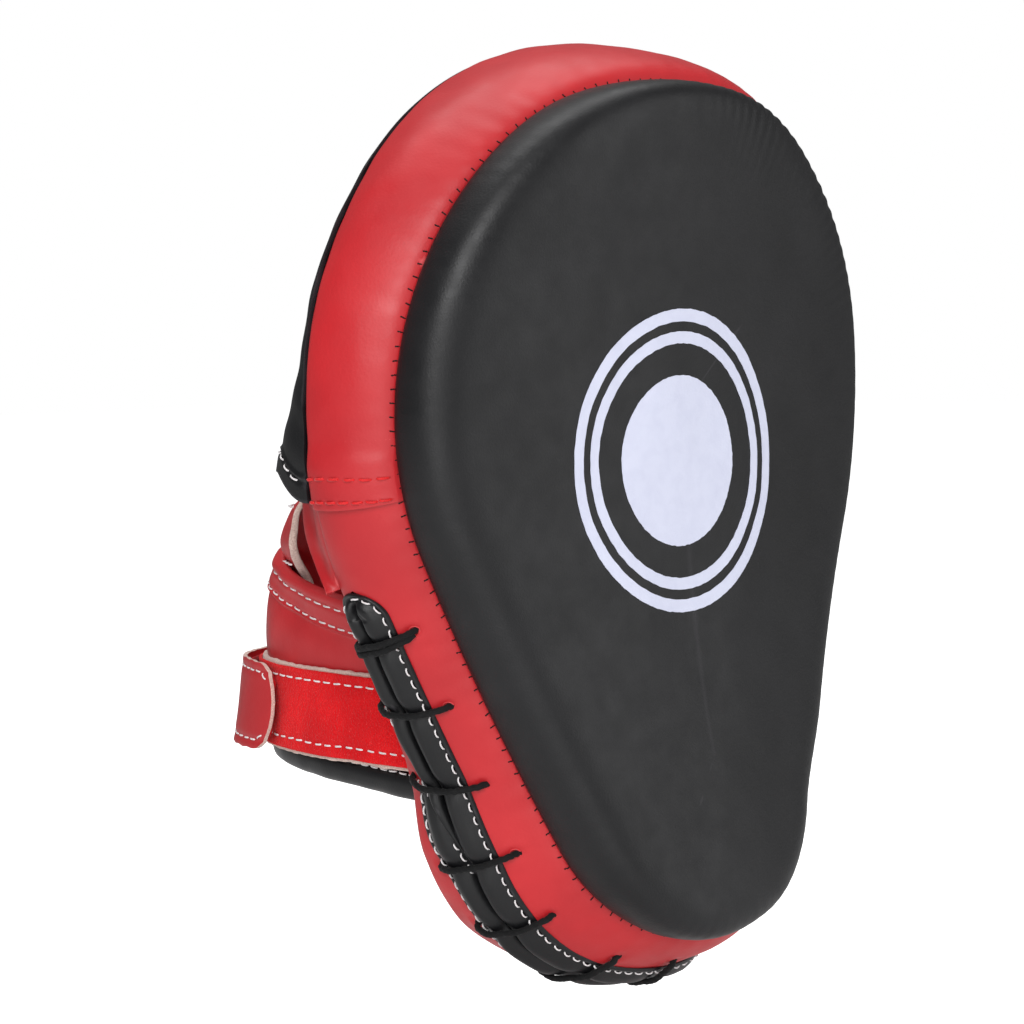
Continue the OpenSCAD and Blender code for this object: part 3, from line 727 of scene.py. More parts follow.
def slot_share(s):
    """How far the slot is open, 0 to 1, with a round top and a long taper below."""
    top = np.clip((s - SLOT_TOP) / CAP_R, 0, 1)
    end = np.clip((SLOT_END - s) / (SLOT_END - TAPER_FROM), 0, 1)
    return np.sqrt(1 - (1 - top) ** 2) * np.sqrt(1 - (1 - end) ** 2)


def wall_swell(s, y, seed):
    t = rim_at(s)
    near_seam = np.exp(-np.abs(y - seam_y(t)) / 5)
    swell = 0.35 * waves(s, 2 * y, 46, seed) + 0.10 * waves(s, y, 12, seed + 1)
    swell = swell + 0.20 * gathers(s + 0 * y, seed + 2) * near_seam
    for a, offset in holes():
        r = np.hypot(s - a, y - slot_y(rim_at(a)) - offset)
        swell = swell - 0.9 * bell(r, 1.5) + 0.22 * bell(r - 2.6, 1.2)
    return swell


def wall_skin(s, y, lift=0.0, seed=20):
    """The side wall's outer surface: it turns in at the front seam and over the rear rim."""
    t = rim_at(s)
    from_seam = np.abs(y - seam_y(t))
    drawn_in = GROOVE * np.exp(-from_seam / 0.9) + seam_tuck(t) * np.exp(-from_seam / TUCK_DEPTH)
    out = wall_swell(s, y, seed) + lift - drawn_in
    corner = np.clip(1 + y / 2.6, 0, 1)
    return wall_point(t, y, out - 2.6 * (1 - np.sqrt(1 - np.minimum(corner, 0.995) ** 2)))


def wall_grid(s, ys, lift=0.0, first=True, last=True):
    """Rows of wall at the given heights, with the turned-in edges added."""
    rows = [wall_skin(s, y, lift) for y in ys]
    t = rim_at(s)
    if first:
        rows.insert(0, rim_point(t, lift - GROOVE - 2.8 - seam_tuck(t), seam_y(t) + 0.2))
    if last:
        rows.append(rim_point(t, REAR_FLARE - 7.0, -0.05 + 0 * t))
    return np.stack(rows)


def ends_eased(count, power=1.7):
    """0 to 1 with smaller steps at both ends."""
    u = np.linspace(-1, 1, count)
    return 0.5 + 0.5 * np.sign(u) * (1 - (1 - np.abs(u)) ** power)


JOIN_AT = -JOIN_T * TOP_LEN
LAP = 1.8                # how far the finger end band reaches past the join


def finger_end():
    low, high = -TOP_LEN - JOIN_AT - LAP, JOIN_AT + LAP
    s = np.linspace(low, high, int((high - low) / 0.9))
    lift = 1.3 * (1 - smooth(np.minimum(s - low, high - s), 8, 16))
    ys = [seam_y(rim_at(s)) * (1 - v) for v in ends_eased(30)]
    piece = Piece("finger_end_leather").sheet(wall_grid(s, ys, lift), away=(0, -15, 30)).build(RED)
    ready(thicken(piece, rounding=0.25), "red_leather", "mitt", "finger_end_band", "band_join_tabs")
    rows = []
    for back, turn in ((1.5, 1), (6.9, 1), (1.5, -1), (6.9, -1)):
        at = high - back if turn > 0 else low + back
        y = np.linspace(float(seam_y(rim_at(at))) + 0.6, -0.6, 40)
        lifted = 1.3 * (1 - float(smooth(back, 8, 16)))
        path = wall_skin(at + 0.5 * np.sin(y / 5), y, lifted)
        rows.append((path, rim_out(rim_at(at + 0 * y))))
    stitches("band_join_stitches", rows, "red_thread", length=3.3, gap=0.7, radius=0.42, lift=0.15)


def heel_side():
    over = sum(RIM_LEN[1:])
    s = np.linspace(JOIN_AT - 14, over - JOIN_AT + 14, int((over - 2 * JOIN_AT) / 0.8))
    t = rim_at(s)
    middle, share = slot_y(t), slot_share(s)
    front, rear = middle - (FRONT_ROLL - 1.6) * share, middle + (REAR_ROLL - 1.6) * share
    u = ends_eased(20)
    ys = [seam_y(t) + (front - seam_y(t)) * v for v in u] + [rear * (1 - v) for v in u]
    grid = wall_grid(s, ys)
    keep = np.ones((grid.shape[0] - 1, grid.shape[1] - 1), bool)
    keep[len(u)] = False
    piece = Piece("heel_leather").sheet(grid, away=(0, -15, -20), keep=keep).build(RED, RAW, weld=0.02)
    ready(thicken(piece, rounding=0), "red_leather", "mitt", "heel_front_band", "heel_rear_band")


# Height of a binding roll over the wall, from the gap at its inner side to its flat outer edge
ROLL_PROFILE = curve_through([(0, -4.0), (0.03, -1.2), (0.12, 1.3), (0.28, 2.7), (0.46, 3.0), (0.64, 2.4),
                              (0.78, 1.35), (0.85, 0.85), (0.92, 1.0), (0.98, 0.85), (1.0, 0.15)], 5)


def roll_piece(name, s, offset, size, *nodes):
    """A padded binding roll. offset is its outer edge, from the slot's middle, and size scales its height."""
    q, height = ROLL_PROFILE.T
    q, height = q[:, None], height[:, None]
    along_s, edge = s if isinstance(s, tuple) else (s, 0 * s)
    middle = np.where(edge == 0, 0.0, edge)
    place = along_s - middle * q
    across = offset * q
    wrinkle = 0.16 * waves(place, across * 3, 9, 41) + 0.3 * waves(place, across, 30, 42)
    puff = np.where(height > 0.5, height * size, height) + wrinkle * np.sin(np.pi * np.clip(q, 0, 1)) * size
    if isinstance(s, tuple):
        pleat = bell(across - 0.5, 0.9) * smooth(middle * q, 6.6, 3.2) * smooth(edge, 0.2, 3)
        folds = bell(across * 0.8 + middle * q * 0.55 - 2.2, 0.7) + bell(across * 0.7 - middle * q * 0.6 + 2.6, 0.8)
        puff = puff - 2.6 * pleat * (q > 0.1)
        puff = puff - 0.6 * folds * smooth(edge, 0.2, 3) * (q > 0.15) * (q < 0.8)
    pinch = sum(bell(place - a, 3.0) for a in CROSSINGS)
    puff = np.where(puff > 0, puff * (1 - 0.38 * pinch), puff)
    grid = slot_point(place, across, puff)
    piece = Piece(name).sheet(grid, away=(0, -15, -10)).build(BINDING)
    return ready(thicken(piece, 0.8, rounding=0.15), "black_binding", "mitt", *nodes)


def roll_width(s, wide):
    end = np.clip((SLOT_END - s) / (SLOT_END - TAPER_FROM), 0.02, 1)
    return wide * np.sqrt(1 - (1 - end) ** 2)


def slot_edge(q):
    """The U of the binding: along the front, round the top and down the rear, at a share q of its width."""
    cap = np.linspace(-90, 90, 37)[1:-1]
    a = np.radians(cap)
    down = np.arange(SLOT_TOP + CAP_R, SLOT_END, 0.8)
    rear = down[down < 88]
    rear_w = REAR_ROLL * (1 - 0.25 * smooth(rear, 44, 60)) * (1 - 0.93 * smooth(rear, 60, 86))
    s = np.concatenate([down[::-1], 0 * a + SLOT_TOP + CAP_R, rear])
    beyond = np.concatenate([0 * down, CAP_R * np.cos(a), 0 * rear])
    wide = np.where(a < 0, FRONT_ROLL, REAR_ROLL)
    offset = np.concatenate([-roll_width(down, FRONT_ROLL)[::-1], wide * np.sin(a), rear_w])
    return s - beyond * q, offset * q, s, beyond, offset


def lower_rear():
    s = np.arange(54, SLOT_END, 0.8)
    return s, roll_width(s, REAR_ROLL + 0.3) + 2.0 * bell(s - 75, 11) - 5 * smooth(s, 62, 54)


def lacing():
    _, _, s, beyond, offset = slot_edge(1.0)
    size = np.clip(np.abs(offset) / 5, 0.15, 1) + np.where(beyond > 0, 1 - np.clip(np.abs(offset) / 5, 0.15, 1), 0)
    roll_piece("slot_binding", (s, beyond), offset, size, "front_binding")
    s2, wide2 = lower_rear()
    size2 = smooth(s2, 54, 74) * 0.9 * np.clip(wide2 / 6, 0.15, 1) + 0.1
    roll_piece("rear_slot_binding", s2, wide2, size2, "rear_binding")
    rows = []
    for s_row, off_row in (slot_edge(0.86)[:2], (s2[8:-8], (wide2 * 0.86)[8:-8])):
        past_tip = (s_row > SLOT_TOP + 4) | (off_row < 0)
        s_row, off_row = s_row[past_tip], off_row[past_tip]
        path = slot_point(s_row, off_row, 1.1)
        rows.append((path, rim_out(rim_at(s_row))))
    stitches("binding_stitches", rows, "white_thread")
    s = np.arange(SLOT_TOP + 4, SLOT_END - 4, 1.5)
    reach = 8.5 * np.maximum(0.3, slot_share(s))
    grid = slot_point(s, np.linspace(-1, 1, 9)[:, None] * reach, -4.6)
    ready(thicken(Piece("tongue_leather").sheet(grid, away=(0, -15, -10)).build(BINDING), 0.8),
          "black_binding", "mitt", "lace_tongue")
    lace()
    edges = Piece("lace_hole_edges")
    ring = np.linspace(0, 2 * np.pi, 17)[:-1]
    for a, offset in holes():
        if offset > 0 and a < 30:
            continue
        where = slot_point(a + 1.15 * np.cos(ring), offset + 1.15 * np.sin(ring), -0.5)
        sweep(edges, where, rim_out(rim_at(a + 0 * ring)), oval(0.16, 0.16, 6), closed=True)
    ready(edges.build(LOOKS["red_leather"]), "red_leather", "mitt")


def crossing_points(s, skew, high=0.0, under=True):
    """The lace over both rolls at one crossing, from the front hole to the rear one."""
    back = float(rear_hole(s))
    stops = [(-1, -3.8), (-1, 0.1), (-0.93, 1.1), (-0.7, 1.9), (-0.45, 2.9), (-0.2, 3.0), (0.0, 2.8),
             (0.22, 3.0), (0.5, 2.9), (0.76, 2.0), (0.94, 1.1), (1, 0.1), (1, -3.8)]
    stops = stops if under else stops[1:-1]
    return [slot_point(s + skew * k, k * (HOLE_FRONT if k < 0 else back), out + high) for k, out in stops]


def braid(name, points, nodes=()):
    """A round braided cord through the points."""
    path = curve_through(points, 10)
    path = along(path, np.arange(0, lengths(path)[-1], 0.33))
    outs = unit(path * [1, 0, 1] - [0, 0, 10])
    s = np.arange(len(path))[:, None] * 0.33
    phi = np.linspace(0, 2 * np.pi, 14, endpoint=False)
    plait = np.abs(np.sin(1.5 * phi + 1.5 * s)) + np.abs(np.sin(1.5 * phi - 1.5 * s))
    r = LACE_R * (0.80 + 0.16 * plait)
    section = np.stack([r * np.cos(phi), r * np.sin(phi)], axis=-1)
    piece = sweep(Piece(name), path, outs, section).build(LOOKS["black_cord"])
    return ready(piece, "black_cord", "mitt", *nodes)


def lace():
    route = []
    for k, (s, skew) in enumerate(zip(CROSSINGS, SKEWS)):
        route += crossing_points(s, skew)
        if k < len(CROSSINGS) - 1:
            route.append(slot_point((s + CROSSINGS[k + 1]) / 2, 0.0, -3.6))
    braid("lace_cord", route, ("lace",))
    second = np.array(crossing_points(CROSSINGS[0], SKEWS[0], 0.1)[1:-1])
    apart = 1.9 * np.sin(np.linspace(0.12, np.pi - 0.12, len(second))) ** 0.5
    beside = slot_point(CROSSINGS[0] + 1.0, 0.0, 0.0) - slot_point(CROSSINGS[0], 0.0, 0.0)
    braid("lace_second_strand", list(second + apart[:, None] * beside))


def seam_ticks():
    """The black thread that shows on the red side of the front seam, one small V for each stitch."""
    rows = []
    s = np.arange(-TOP_LEN, sum(RIM_LEN[1:]), 3.6)
    for k, a in enumerate(s):
        u = np.linspace(0, 1, 5)
        at = a - 0.3 * u * np.sin(7 * k)
        y = seam_y(rim_at(at)) + 0.1 + 0.5 * u
        path = wall_skin(at, y, 0.0)
        rows.append((path, rim_out(rim_at(at))))
    stitches("front_seam_stitches", rows, "black_cord", length=0.5, gap=0.1, radius=0.2, lift=0.0, wobble=0.1)


# ---------------------------------------------------------------- back of the pad
def back_of_pad():
    s = np.linspace(-TOP_LEN, sum(RIM_LEN[1:]), 420, endpoint=False)
    t = rim_at(s)
    inset = np.concatenate([np.linspace(0, 14, 12)[:, None] + 0 * t,
                            14 + (rim(t)[2] + REAR_FLARE - 17.5) * np.linspace(0, 1, 14)[1:, None]])
    grid = rim_point(t, REAR_FLARE - 3.4 - inset, 0.0)
    x, z = grid[..., 0], grid[..., 2]
    grid[..., 1] = -1.2 + 1.1 * smooth(inset, 0, 3) + 0.25 * waves(x, z, 30, 51) * smooth(inset, 2, 12)
    grid[..., 1] += 0.12 * gathers(s, 52) * np.exp(-inset / 5)
    grid = np.concatenate([rim_point(t, REAR_FLARE - 3.0, -2.0)[None], grid])
    piece = Piece("back_leather").sheet(grid, away=(0, -40, 0), closed=True).build(RED, weld=0.02)
    ready(thicken(piece, 1.0, rounding=0), "red_leather", "mitt", "back_panel")


def dome_point(r, phi, grow=0.0):
    """A point of the palm ball's cover, r from its middle."""
    sphere = (BALL_R ** 2 + BALL_RISE ** 2) / (2 * BALL_RISE)
    x, z = r * np.cos(phi), r * np.sin(phi)
    ridge = np.minimum(np.abs(x), np.abs(z))
    y = BALL_RISE - sphere + np.sqrt(sphere ** 2 - r ** 2) + grow - 0.8 * bell(ridge, 1.1) * smooth(r, 33, 27)
    return np.stack([x, np.maximum(y + 0.1, 0.15), BALL_Z + z], axis=-1)


def palm_ball():
    phi = np.linspace(0, 2 * np.pi, 160, endpoint=False)
    r = np.concatenate([[BALL_R], np.linspace(BALL_R - 0.4, 0.2, 44)])[:, None]
    grid = dome_point(r, phi + 0 * r, 0.25 * waves(40 * np.cos(phi), r, 18, 61))
    piece = Piece("palm_ball_leather").sheet(grid, away=(0, -30, BALL_Z), closed=True).build(RED)
    ready(thicken(piece, 1.0), "red_leather", "mitt", "palm_ball_cover")
    rows = []
    for k in range(4):
        for side in (-1, 1):
            u = np.linspace(1.5, BALL_R - 2, 30)
            around = k * np.pi / 2 + side * np.arcsin(np.minimum(2.0 / u, 0.9))
            path = dome_point(u, around, 0.3)
            rows.append((path, unit(path - [0, -30, BALL_Z])))
    stitches("palm_ball_stitches", rows, "white_thread")


# ---------------------------------------------------------------- glove
def hood_folds(phi, z):
    across = HOOD_RISE * np.radians(phi)
    sag = 0.6 * waves(across, z, 42, 71) + 0.2 * waves(across, z, 14, 72)
    pull = 0.35 * waves(z, 0 * z, 16, 73) * (bell(phi, 22) + bell(phi - 180, 22))
    return (sag + pull) * smooth(z, HOOD_TOP - 2, HOOD_TOP - 30)


def hood_skin(phi, z, grow=0.0):
    """The hood's outer surface. Its hem rises from both feet towards the back of the hand."""
    hem = 0.55 * (1 - smooth(z, HOOD_HEM + 6.5, HOOD_HEM + 7.5)) - 0.5 * bell(z - HOOD_HEM - 5.4, 0.7)
    foot = np.minimum(phi, 180 - phi)
    rise = (0.5 + 7.5 * smooth(foot, 0, 18)) * smooth(z, 62, HOOD_HEM + 4)
    return hood_point(phi, z + rise, grow + hood_folds(phi, z) + hem)


def arch_row(skin, phi, z, out=0.1):
    """A path on an arch, and the directions out of it."""
    path = skin(phi, z, out)
    return path, unit(skin(phi, z, out + 1) - path)


def hood():
    phi = np.linspace(0, 180, 190)
    levels = [[HOOD_TOP], HOOD_TOP - 30 * np.linspace(0.02, 1, 26) ** 2,
              np.linspace(HOOD_TOP - 31, HOOD_HEM + 9, 62), np.linspace(HOOD_HEM + 8.2, HOOD_HEM, 16)]
    z = np.concatenate(levels)[:, None]
    grid = hood_skin(phi + 0 * z, z + 0 * phi)
    piece = Piece("hood_leather").sheet(grid, away=(0, -20, 40)).build(BLACK)
    ready(thicken(piece, 1.3, rounding=0.35), "black_leather", "mitt", "finger_hood", "hood_hem")
    stitches("hood_hem_stitches", [arch_row(hood_skin, np.linspace(3, 177, 240), HOOD_HEM + 5.0, 0.2)],
             "white_thread", length=3.0, gap=1.2)


def side_gusset():
    """The soft red fold that closes the gap between hood and pad on the thumb side."""
    v = np.linspace(0, 1, 34)
    u = np.linspace(0, 1, 30)[:, None]
    rim_line = wall_point(np.linspace(0.93, 1.06, 40), -0.8, -1.2)
    free_line = curve_through([(-84, 15, 30), (-84, 16, 21), (-85, 14, 13), (-87.0, 8, 5), (-89.8, 1.2, -1)], 10)
    top, low = along(rim_line, u[:, 0] * lengths(rim_line)[-1]), along(free_line, u[:, 0] * lengths(free_line)[-1])
    grid = top[:, None] * (1 - v[:, None]) + low[:, None] * v[:, None]
    belly = np.sin(np.pi * v) * (1 - u) ** 0.6
    grid[..., 0] -= belly * (1.6 * np.cos(1.54 * np.pi * v) + 0.6 * waves(grid[..., 1], grid[..., 2], 9, 77))
    piece = Piece("side_gusset").sheet(grid, away=(-40, 5, 10)).build(RED, RAW)
    ready(thicken(piece, 1.0), "red_leather", "mitt")


def panel_folds(phi, v):
    across = 70 * np.radians(phi)
    return 0.7 * waves(across, 110 * v, 36, 81) + 0.2 * waves(across, 110 * v, 12, 82)


def panel_skin(phi, v, grow=0.0):
    return panel_point(phi, v, grow + panel_folds(phi, v))


PANEL_TO = 174.0


def panel_from(v):
    """The finger panel's free edge, which runs nearly straight down on the thumb side."""
    z = panel_point(90.0 + 0 * np.asarray(v, float), v)[..., 2]
    return np.interp(z, (-12, -2.5, 6, 12, 19, 25, 40), (34, 33, 29, 30, 37, 43, 46))


def finger_panel():
    v = np.linspace(0, 1, 90)[:, None]
    phi = panel_from(v) + (PANEL_TO - panel_from(v)) * np.linspace(0, 1, 150)
    grid = panel_skin(phi, v + 0 * phi)
    piece = Piece("finger_panel_leather").sheet(grid, away=(0, 0, 0)).build(RED, RAW)
    ready(thicken(piece, rim=1, rounding=0.2), "red_leather", "mitt", "finger_panel")
    edge = np.linspace(0.12, 0.98, 90)
    path, outs = arch_row(panel_skin, panel_from(edge), edge, -0.6)
    wide = 0.5 + 0.75 * smooth(edge, 0.45, 0.85)
    section = np.stack([oval(0.6, w, 10, 3.0) for w in wide])
    ready(sweep(Piece("finger_panel_edge"), path, outs, section).build(RAW), "raw_edge", "mitt")
    phi = np.linspace(58, 150, 110)
    v = np.linspace(0.60, 0.86, 26)[:, None]
    patch = panel_skin(phi + 0 * v, v + 0 * phi, 1.0)
    piece = Piece("knuckle_patch_leather").sheet(patch, away=(0, 0, 0)).build(RED, RAW)
    ready(thicken(piece, 0.9, rim=1, rounding=0.2), "red_leather", "mitt", "knuckle_patch")
    rows = [arch_row(panel_skin, np.linspace(float(panel_from(share)) + 1.5, 150, 160), share, 0.1 + extra)
            for share, extra in ((0.50, 0.0), (0.58, 0.0), (0.625, 1.0), (0.835, 1.0))]
    inner = np.linspace(0.3, 0.9, 60)
    path = panel_skin(panel_from(inner) + 7, inner, -1.35)
    rows.append((path, -unit(path * [1, 1, 0] + [0, 0, 0.01])))
    stitches("finger_panel_stitches", rows, "white_thread", length=3.0)


def inside_parts():
    """The finger dividers and the thumb loop, sewn to the back of the pad."""
    u, v = np.linspace(0, 1, 14), np.linspace(0, 1, 30)[:, None]
    webs = Piece("divider_leather")
    for k, x in enumerate((-21, 0, 21)):
        rise = 0.3 + 7.8 * u * (1 - 0.25 * (2 * v - 1) ** 4)
        bend = 0.5 * np.sin(3 * v + k) * u
        grid = np.stack([x - 0.55 + bend, rise, 30.2 + 27.6 * v + 0 * u], axis=-1)
        webs.sheet(grid, away=(x + 30, 4, 44))
    ready(thicken(webs.build(RED, RAW), 1.0, rim=1, rounding=0.2), "red_leather", "mitt", "finger_dividers")
    phi = np.linspace(2, 178, 70)
    z = np.linspace(20, 0, 24)[:, None]
    loop = arch(15 + 0.3 * waves(phi, z, 20, 91), 16, 2.4, phi + 0 * z, z + 0 * phi) + [-50, 0, 0]
    piece = Piece("thumb_loop_leather").sheet(loop, away=(-50, 2, 10)).build(RED, RAW)
    ready(thicken(piece, rim=1), "red_leather", "mitt", "thumb_loop")
    rows = [(arch(15.1, 16.1, 2.4, phi, height) + [-50, 0, 0],
             unit(arch(16, 17, 2.4, phi, height) - arch(15, 16, 2.4, phi, height))) for height in (17.5, 2.5)]
    stitches("thumb_loop_stitches", rows, "white_thread")


# ---------------------------------------------------------------- wrist
def cuff_folds(phi, z):
    across = 75 * np.radians(phi)
    sag = 0.7 + 0.6 * waves(across, z, 40, 95) + 0.2 * waves(across, z, 13, 96)
    dent = 1.5 * bell((z + 12 - 0.35 * (phi - 20)) / 1.0, 5.5) * bell(phi - 26, 26)
    return (sag - dent) * smooth(z, CUFF_BOTTOM, CUFF_BOTTOM + 14) * smooth(phi, 0, 8) * smooth(phi, 180, 172)


HEM_W = 9.6


def cuff_skin(phi, z, grow=0.0):
    down = cuff_top(phi) - z
    hem = 1.15 * (1 - smooth(down, HEM_W, HEM_W + 1.0)) + 0.5 * bell(down - 1.5, 1.5)
    groove = 0.45 * bell(down - 3.4, 0.7) + 0.4 * bell(down - HEM_W + 0.7, 0.7)
    return cuff_point(phi, z, grow + cuff_folds(phi, z) + hem - groove)


def wrist_panel():
    phi = even_phis(lambda a: cuff_point(a, -20.0 + 0 * a), 0, 180, 1.1)
    down = np.linspace(0, HEM_W + 2, 26)
    share = np.linspace(0, 1, 36)[1:, None]
    top, bottom = cuff_top(phi), cuff_bottom(phi)
    upper = top - down[:, None]
    lower = upper[-1] + (bottom - upper[-1]) * share
    z = np.concatenate([upper, lower])
    grid = cuff_skin(phi + 0 * z, z)
    turn = np.radians([150, 110, 70, 30])
    lip = [cuff_point(phi, top + 0.9 * np.sin(a), 0.3 + np.cos(a)) for a in turn]
    grid = np.concatenate([np.stack(lip), grid])
    piece = Piece("wrist_leather").sheet(grid, away=(0, 0, -20)).build(RED)
    ready(thicken(piece, rounding=0.3), "red_leather", "mitt", "wrist_panel", "wrist_hem")
    run = np.linspace(1, 179, 420)
    stitches("wrist_hem_stitches", [arch_row(cuff_skin, run, cuff_top(run) - drop, 0.1)
                                    for drop in (3.4, HEM_W - 0.7)], "white_thread", length=3.2, gap=1.3)


def cuff_padding():
    """The padded lining inside the cuff, with sewn channels."""
    phi = even_phis(lambda a: cuff_point(a, -20.0 + 0 * a, -6), 0.02, 179.98, 1.3)
    v = np.linspace(0, 1, 34)[:, None]
    top, bottom = cuff_top(phi) - 13.0, cuff_bottom(phi) + 1.0
    z = top + (bottom - top) * v
    s = lengths(cuff_point(phi, -20.0 + 0 * phi, -6))
    channel = bell((s + 11) % 22 - 11, 1.6) * np.sin(np.pi * v) ** 0.3
    thick = (4.6 - 2.2 * channel) * np.sqrt(np.clip(1 - (2 * v - 1) ** 8, 0, 1))
    inner = cuff_point(phi + 0 * z, z, -1.9 - thick)
    outer = cuff_point(phi + 0 * z, z, -1.7)
    grid = np.concatenate([inner, outer[::-1]])
    made = Piece("cuff_padding").sheet(grid, away=None).build(LOOKS["lining"], weld=0.02)
    close_holes(made)
    ready(made, "lining", "mitt", "cuff_foam", "cuff_lining")


def close_holes(piece):
    """Caps a piece's open edges and turns all of its faces outward."""
    work = bmesh.new()
    work.from_mesh(piece.data)
    bmesh.ops.holes_fill(work, edges=[e for e in work.edges if e.is_boundary], sides=0)
    bmesh.ops.recalc_face_normals(work, faces=work.faces)
    work.to_mesh(piece.data)
    work.free()


def cuff_edge():
    """The black binding along the wrist edge of the cuff."""
    phi = even_phis(lambda a: cuff_point(a, -52.0 + 0 * a), 0.02, 179.98, 0.9)
    z = cuff_bottom(phi) - 4.2
    path = cuff_point(phi, z, -3.7)
    outs = unit(cuff_point(phi, z, -2.7) - path)
    s = lengths(path)
    swell = 1 + 0.035 * waves(s, 0 * s, 20, 101) + 0.02 * waves(s, 0 * s, 6, 102)
    section = oval(4.3, 4.1, 28, 2.5)
    section[:, 1] -= 0.5 * bell(section[:, 0] - 3.1, 0.6) * (section[:, 1] > 0)
    piece = sweep(Piece("cuff_binding_leather"), path, outs, section, scale=swell).build(BINDING)
    ready(piece, "black_binding", "mitt", "cuff_binding")
    run = np.linspace(0.05, 179.95, 900)
    path, outs = arch_row(lambda a, h, g: cuff_point(a, h, g), run, cuff_bottom(run) - 1.1, 0.05)
    stitches("cuff_binding_stitches", [(path, outs)], "white_thread")


# ---------------------------------------------------------------- wrist strap
def strap_wave(s):
    return 0.35 * np.sin(s / 9.0) + 0.2 * np.sin(s / 3.7 + 1)


def loop_side():
    """The fixed strap with the loop tape, sewn round the thumb side of the cuff."""
    phi = even_phis(lambda a: cuff_point(a, -38.0 + 0 * a), 0.0, 84, 1.0)
    s = lengths(cuff_point(phi, -38.0 + 0 * phi))
    v = np.linspace(0, 1, 26)[:, None]
    ragged = 0.22 * waves(s, 0 * s, 3.5, 111)
    z = (STRAP_TOP + 0.4 + ragged) * (1 - v) + (STRAP_TOP - STRAP_W - 0.3 + 0.4 * strap_wave(s) + ragged) * v
    base = cuff_point(phi + 0 * z, z, 1.9 + 0.15 * waves(s + 0 * z, z, 12, 112))
    piece = Piece("loop_strap_leather").sheet(base, away=(0, 0, -38)).build(RAW)
    ready(thicken(piece, 1.6, rounding=0.5), "raw_edge", "mitt", "loop_strap")
    inset = 0.75
    zt = (STRAP_TOP + 0.4 - inset - 0.3 * ragged) * (1 - v)
    zt = zt + (STRAP_TOP - STRAP_W + inset + 0.4 * strap_wave(s)) * v
    rows = np.array([3.2, STRAP_W - 4.0])
    seams = sum(0.45 * bell(STRAP_TOP - zt - r, 0.8) for r in rows)
    tape = cuff_point(phi + 0 * zt, zt, 2.9 + 0.12 * waves(s + 0 * zt, zt, 3, 113) - seams)
    piece = Piece("loop_tape_pile").sheet(tape, away=(0, 0, -38)).build(LOOKS["loop_tape"])
    ready(thicken(piece, 1.0, rounding=0.4), "loop_tape", "mitt", "loop_tape")
    run = np.concatenate([np.linspace(0.02, 2.5, 60)[:-1], np.linspace(2.5, 83, 260)])
    run_s = np.interp(run, phi, s)
    rows = [arch_row(cuff_point, run, STRAP_TOP - 3.2 + 0 * run, 2.6),
            arch_row(cuff_point, run, STRAP_TOP - STRAP_W + 4.0 + 0.6 * strap_wave(run_s), 2.6)]
    stitches("loop_tape_stitches", rows, "white_thread", length=3.0, gap=1.4)


STRAP_Z = STRAP_TOP - STRAP_W / 2
FOLD_REACH = 5.0         # half the length of strap at a fold, which is not bent
HOOK_INSET = 1.8         # the hook tape stops short of the strap's edges


def fold(a, b, phi):
    """Gives a function that bakes a strap piece's transform into its mesh; it does not bend the piece at phi. a and
    b are not used.
    """
    middle = strap_point(phi, STRAP_Z, -0.6)
    ahead = unit(strap_point(phi - 1.0, STRAP_Z, -0.6) - middle) * FOLD_REACH

    def bend(piece):
        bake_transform(piece)
    return bend


STRAP_BREAKS = (177.0, 150.0, 86.0, END_PHI)
STRAP_FOLDS = (("mitt", "strap_root", ANCHOR_PHI), ("strap_root", "strap_end", BEND_PHI),
               ("strap_end", "strap_tip", TIP_PHI))
STRAP_NODES = (("strap_anchor", "strap_root_panel"), (), ("strap_end_panel", "strap_tip_tab"))


def strap_swell(phi, z):
    s = STRAP_A * np.radians(phi)
    lean = 3.0 * (STRAP_TOP - z) / STRAP_W * bell(phi - 50, 42)
    return lean + 0.25 * waves(s, z, 24, 121) - 0.35 * bell(np.abs(z - STRAP_Z) - STRAP_W / 2 + 2.6, 0.7)


def strap_skin(phi, z, grow=0.0):
    return strap_point(phi, z, grow + strap_swell(phi, z))


def strap_half(phi, half):
    """Half width of the strap, rounded off at its tip."""
    from_tip = (phi - END_PHI) * np.pi / 180 * STRAP_A
    return half * np.sqrt(np.clip(1 - np.clip(1 - from_tip / 9.0, 0, 1) ** 2.4, 0.02, 1))


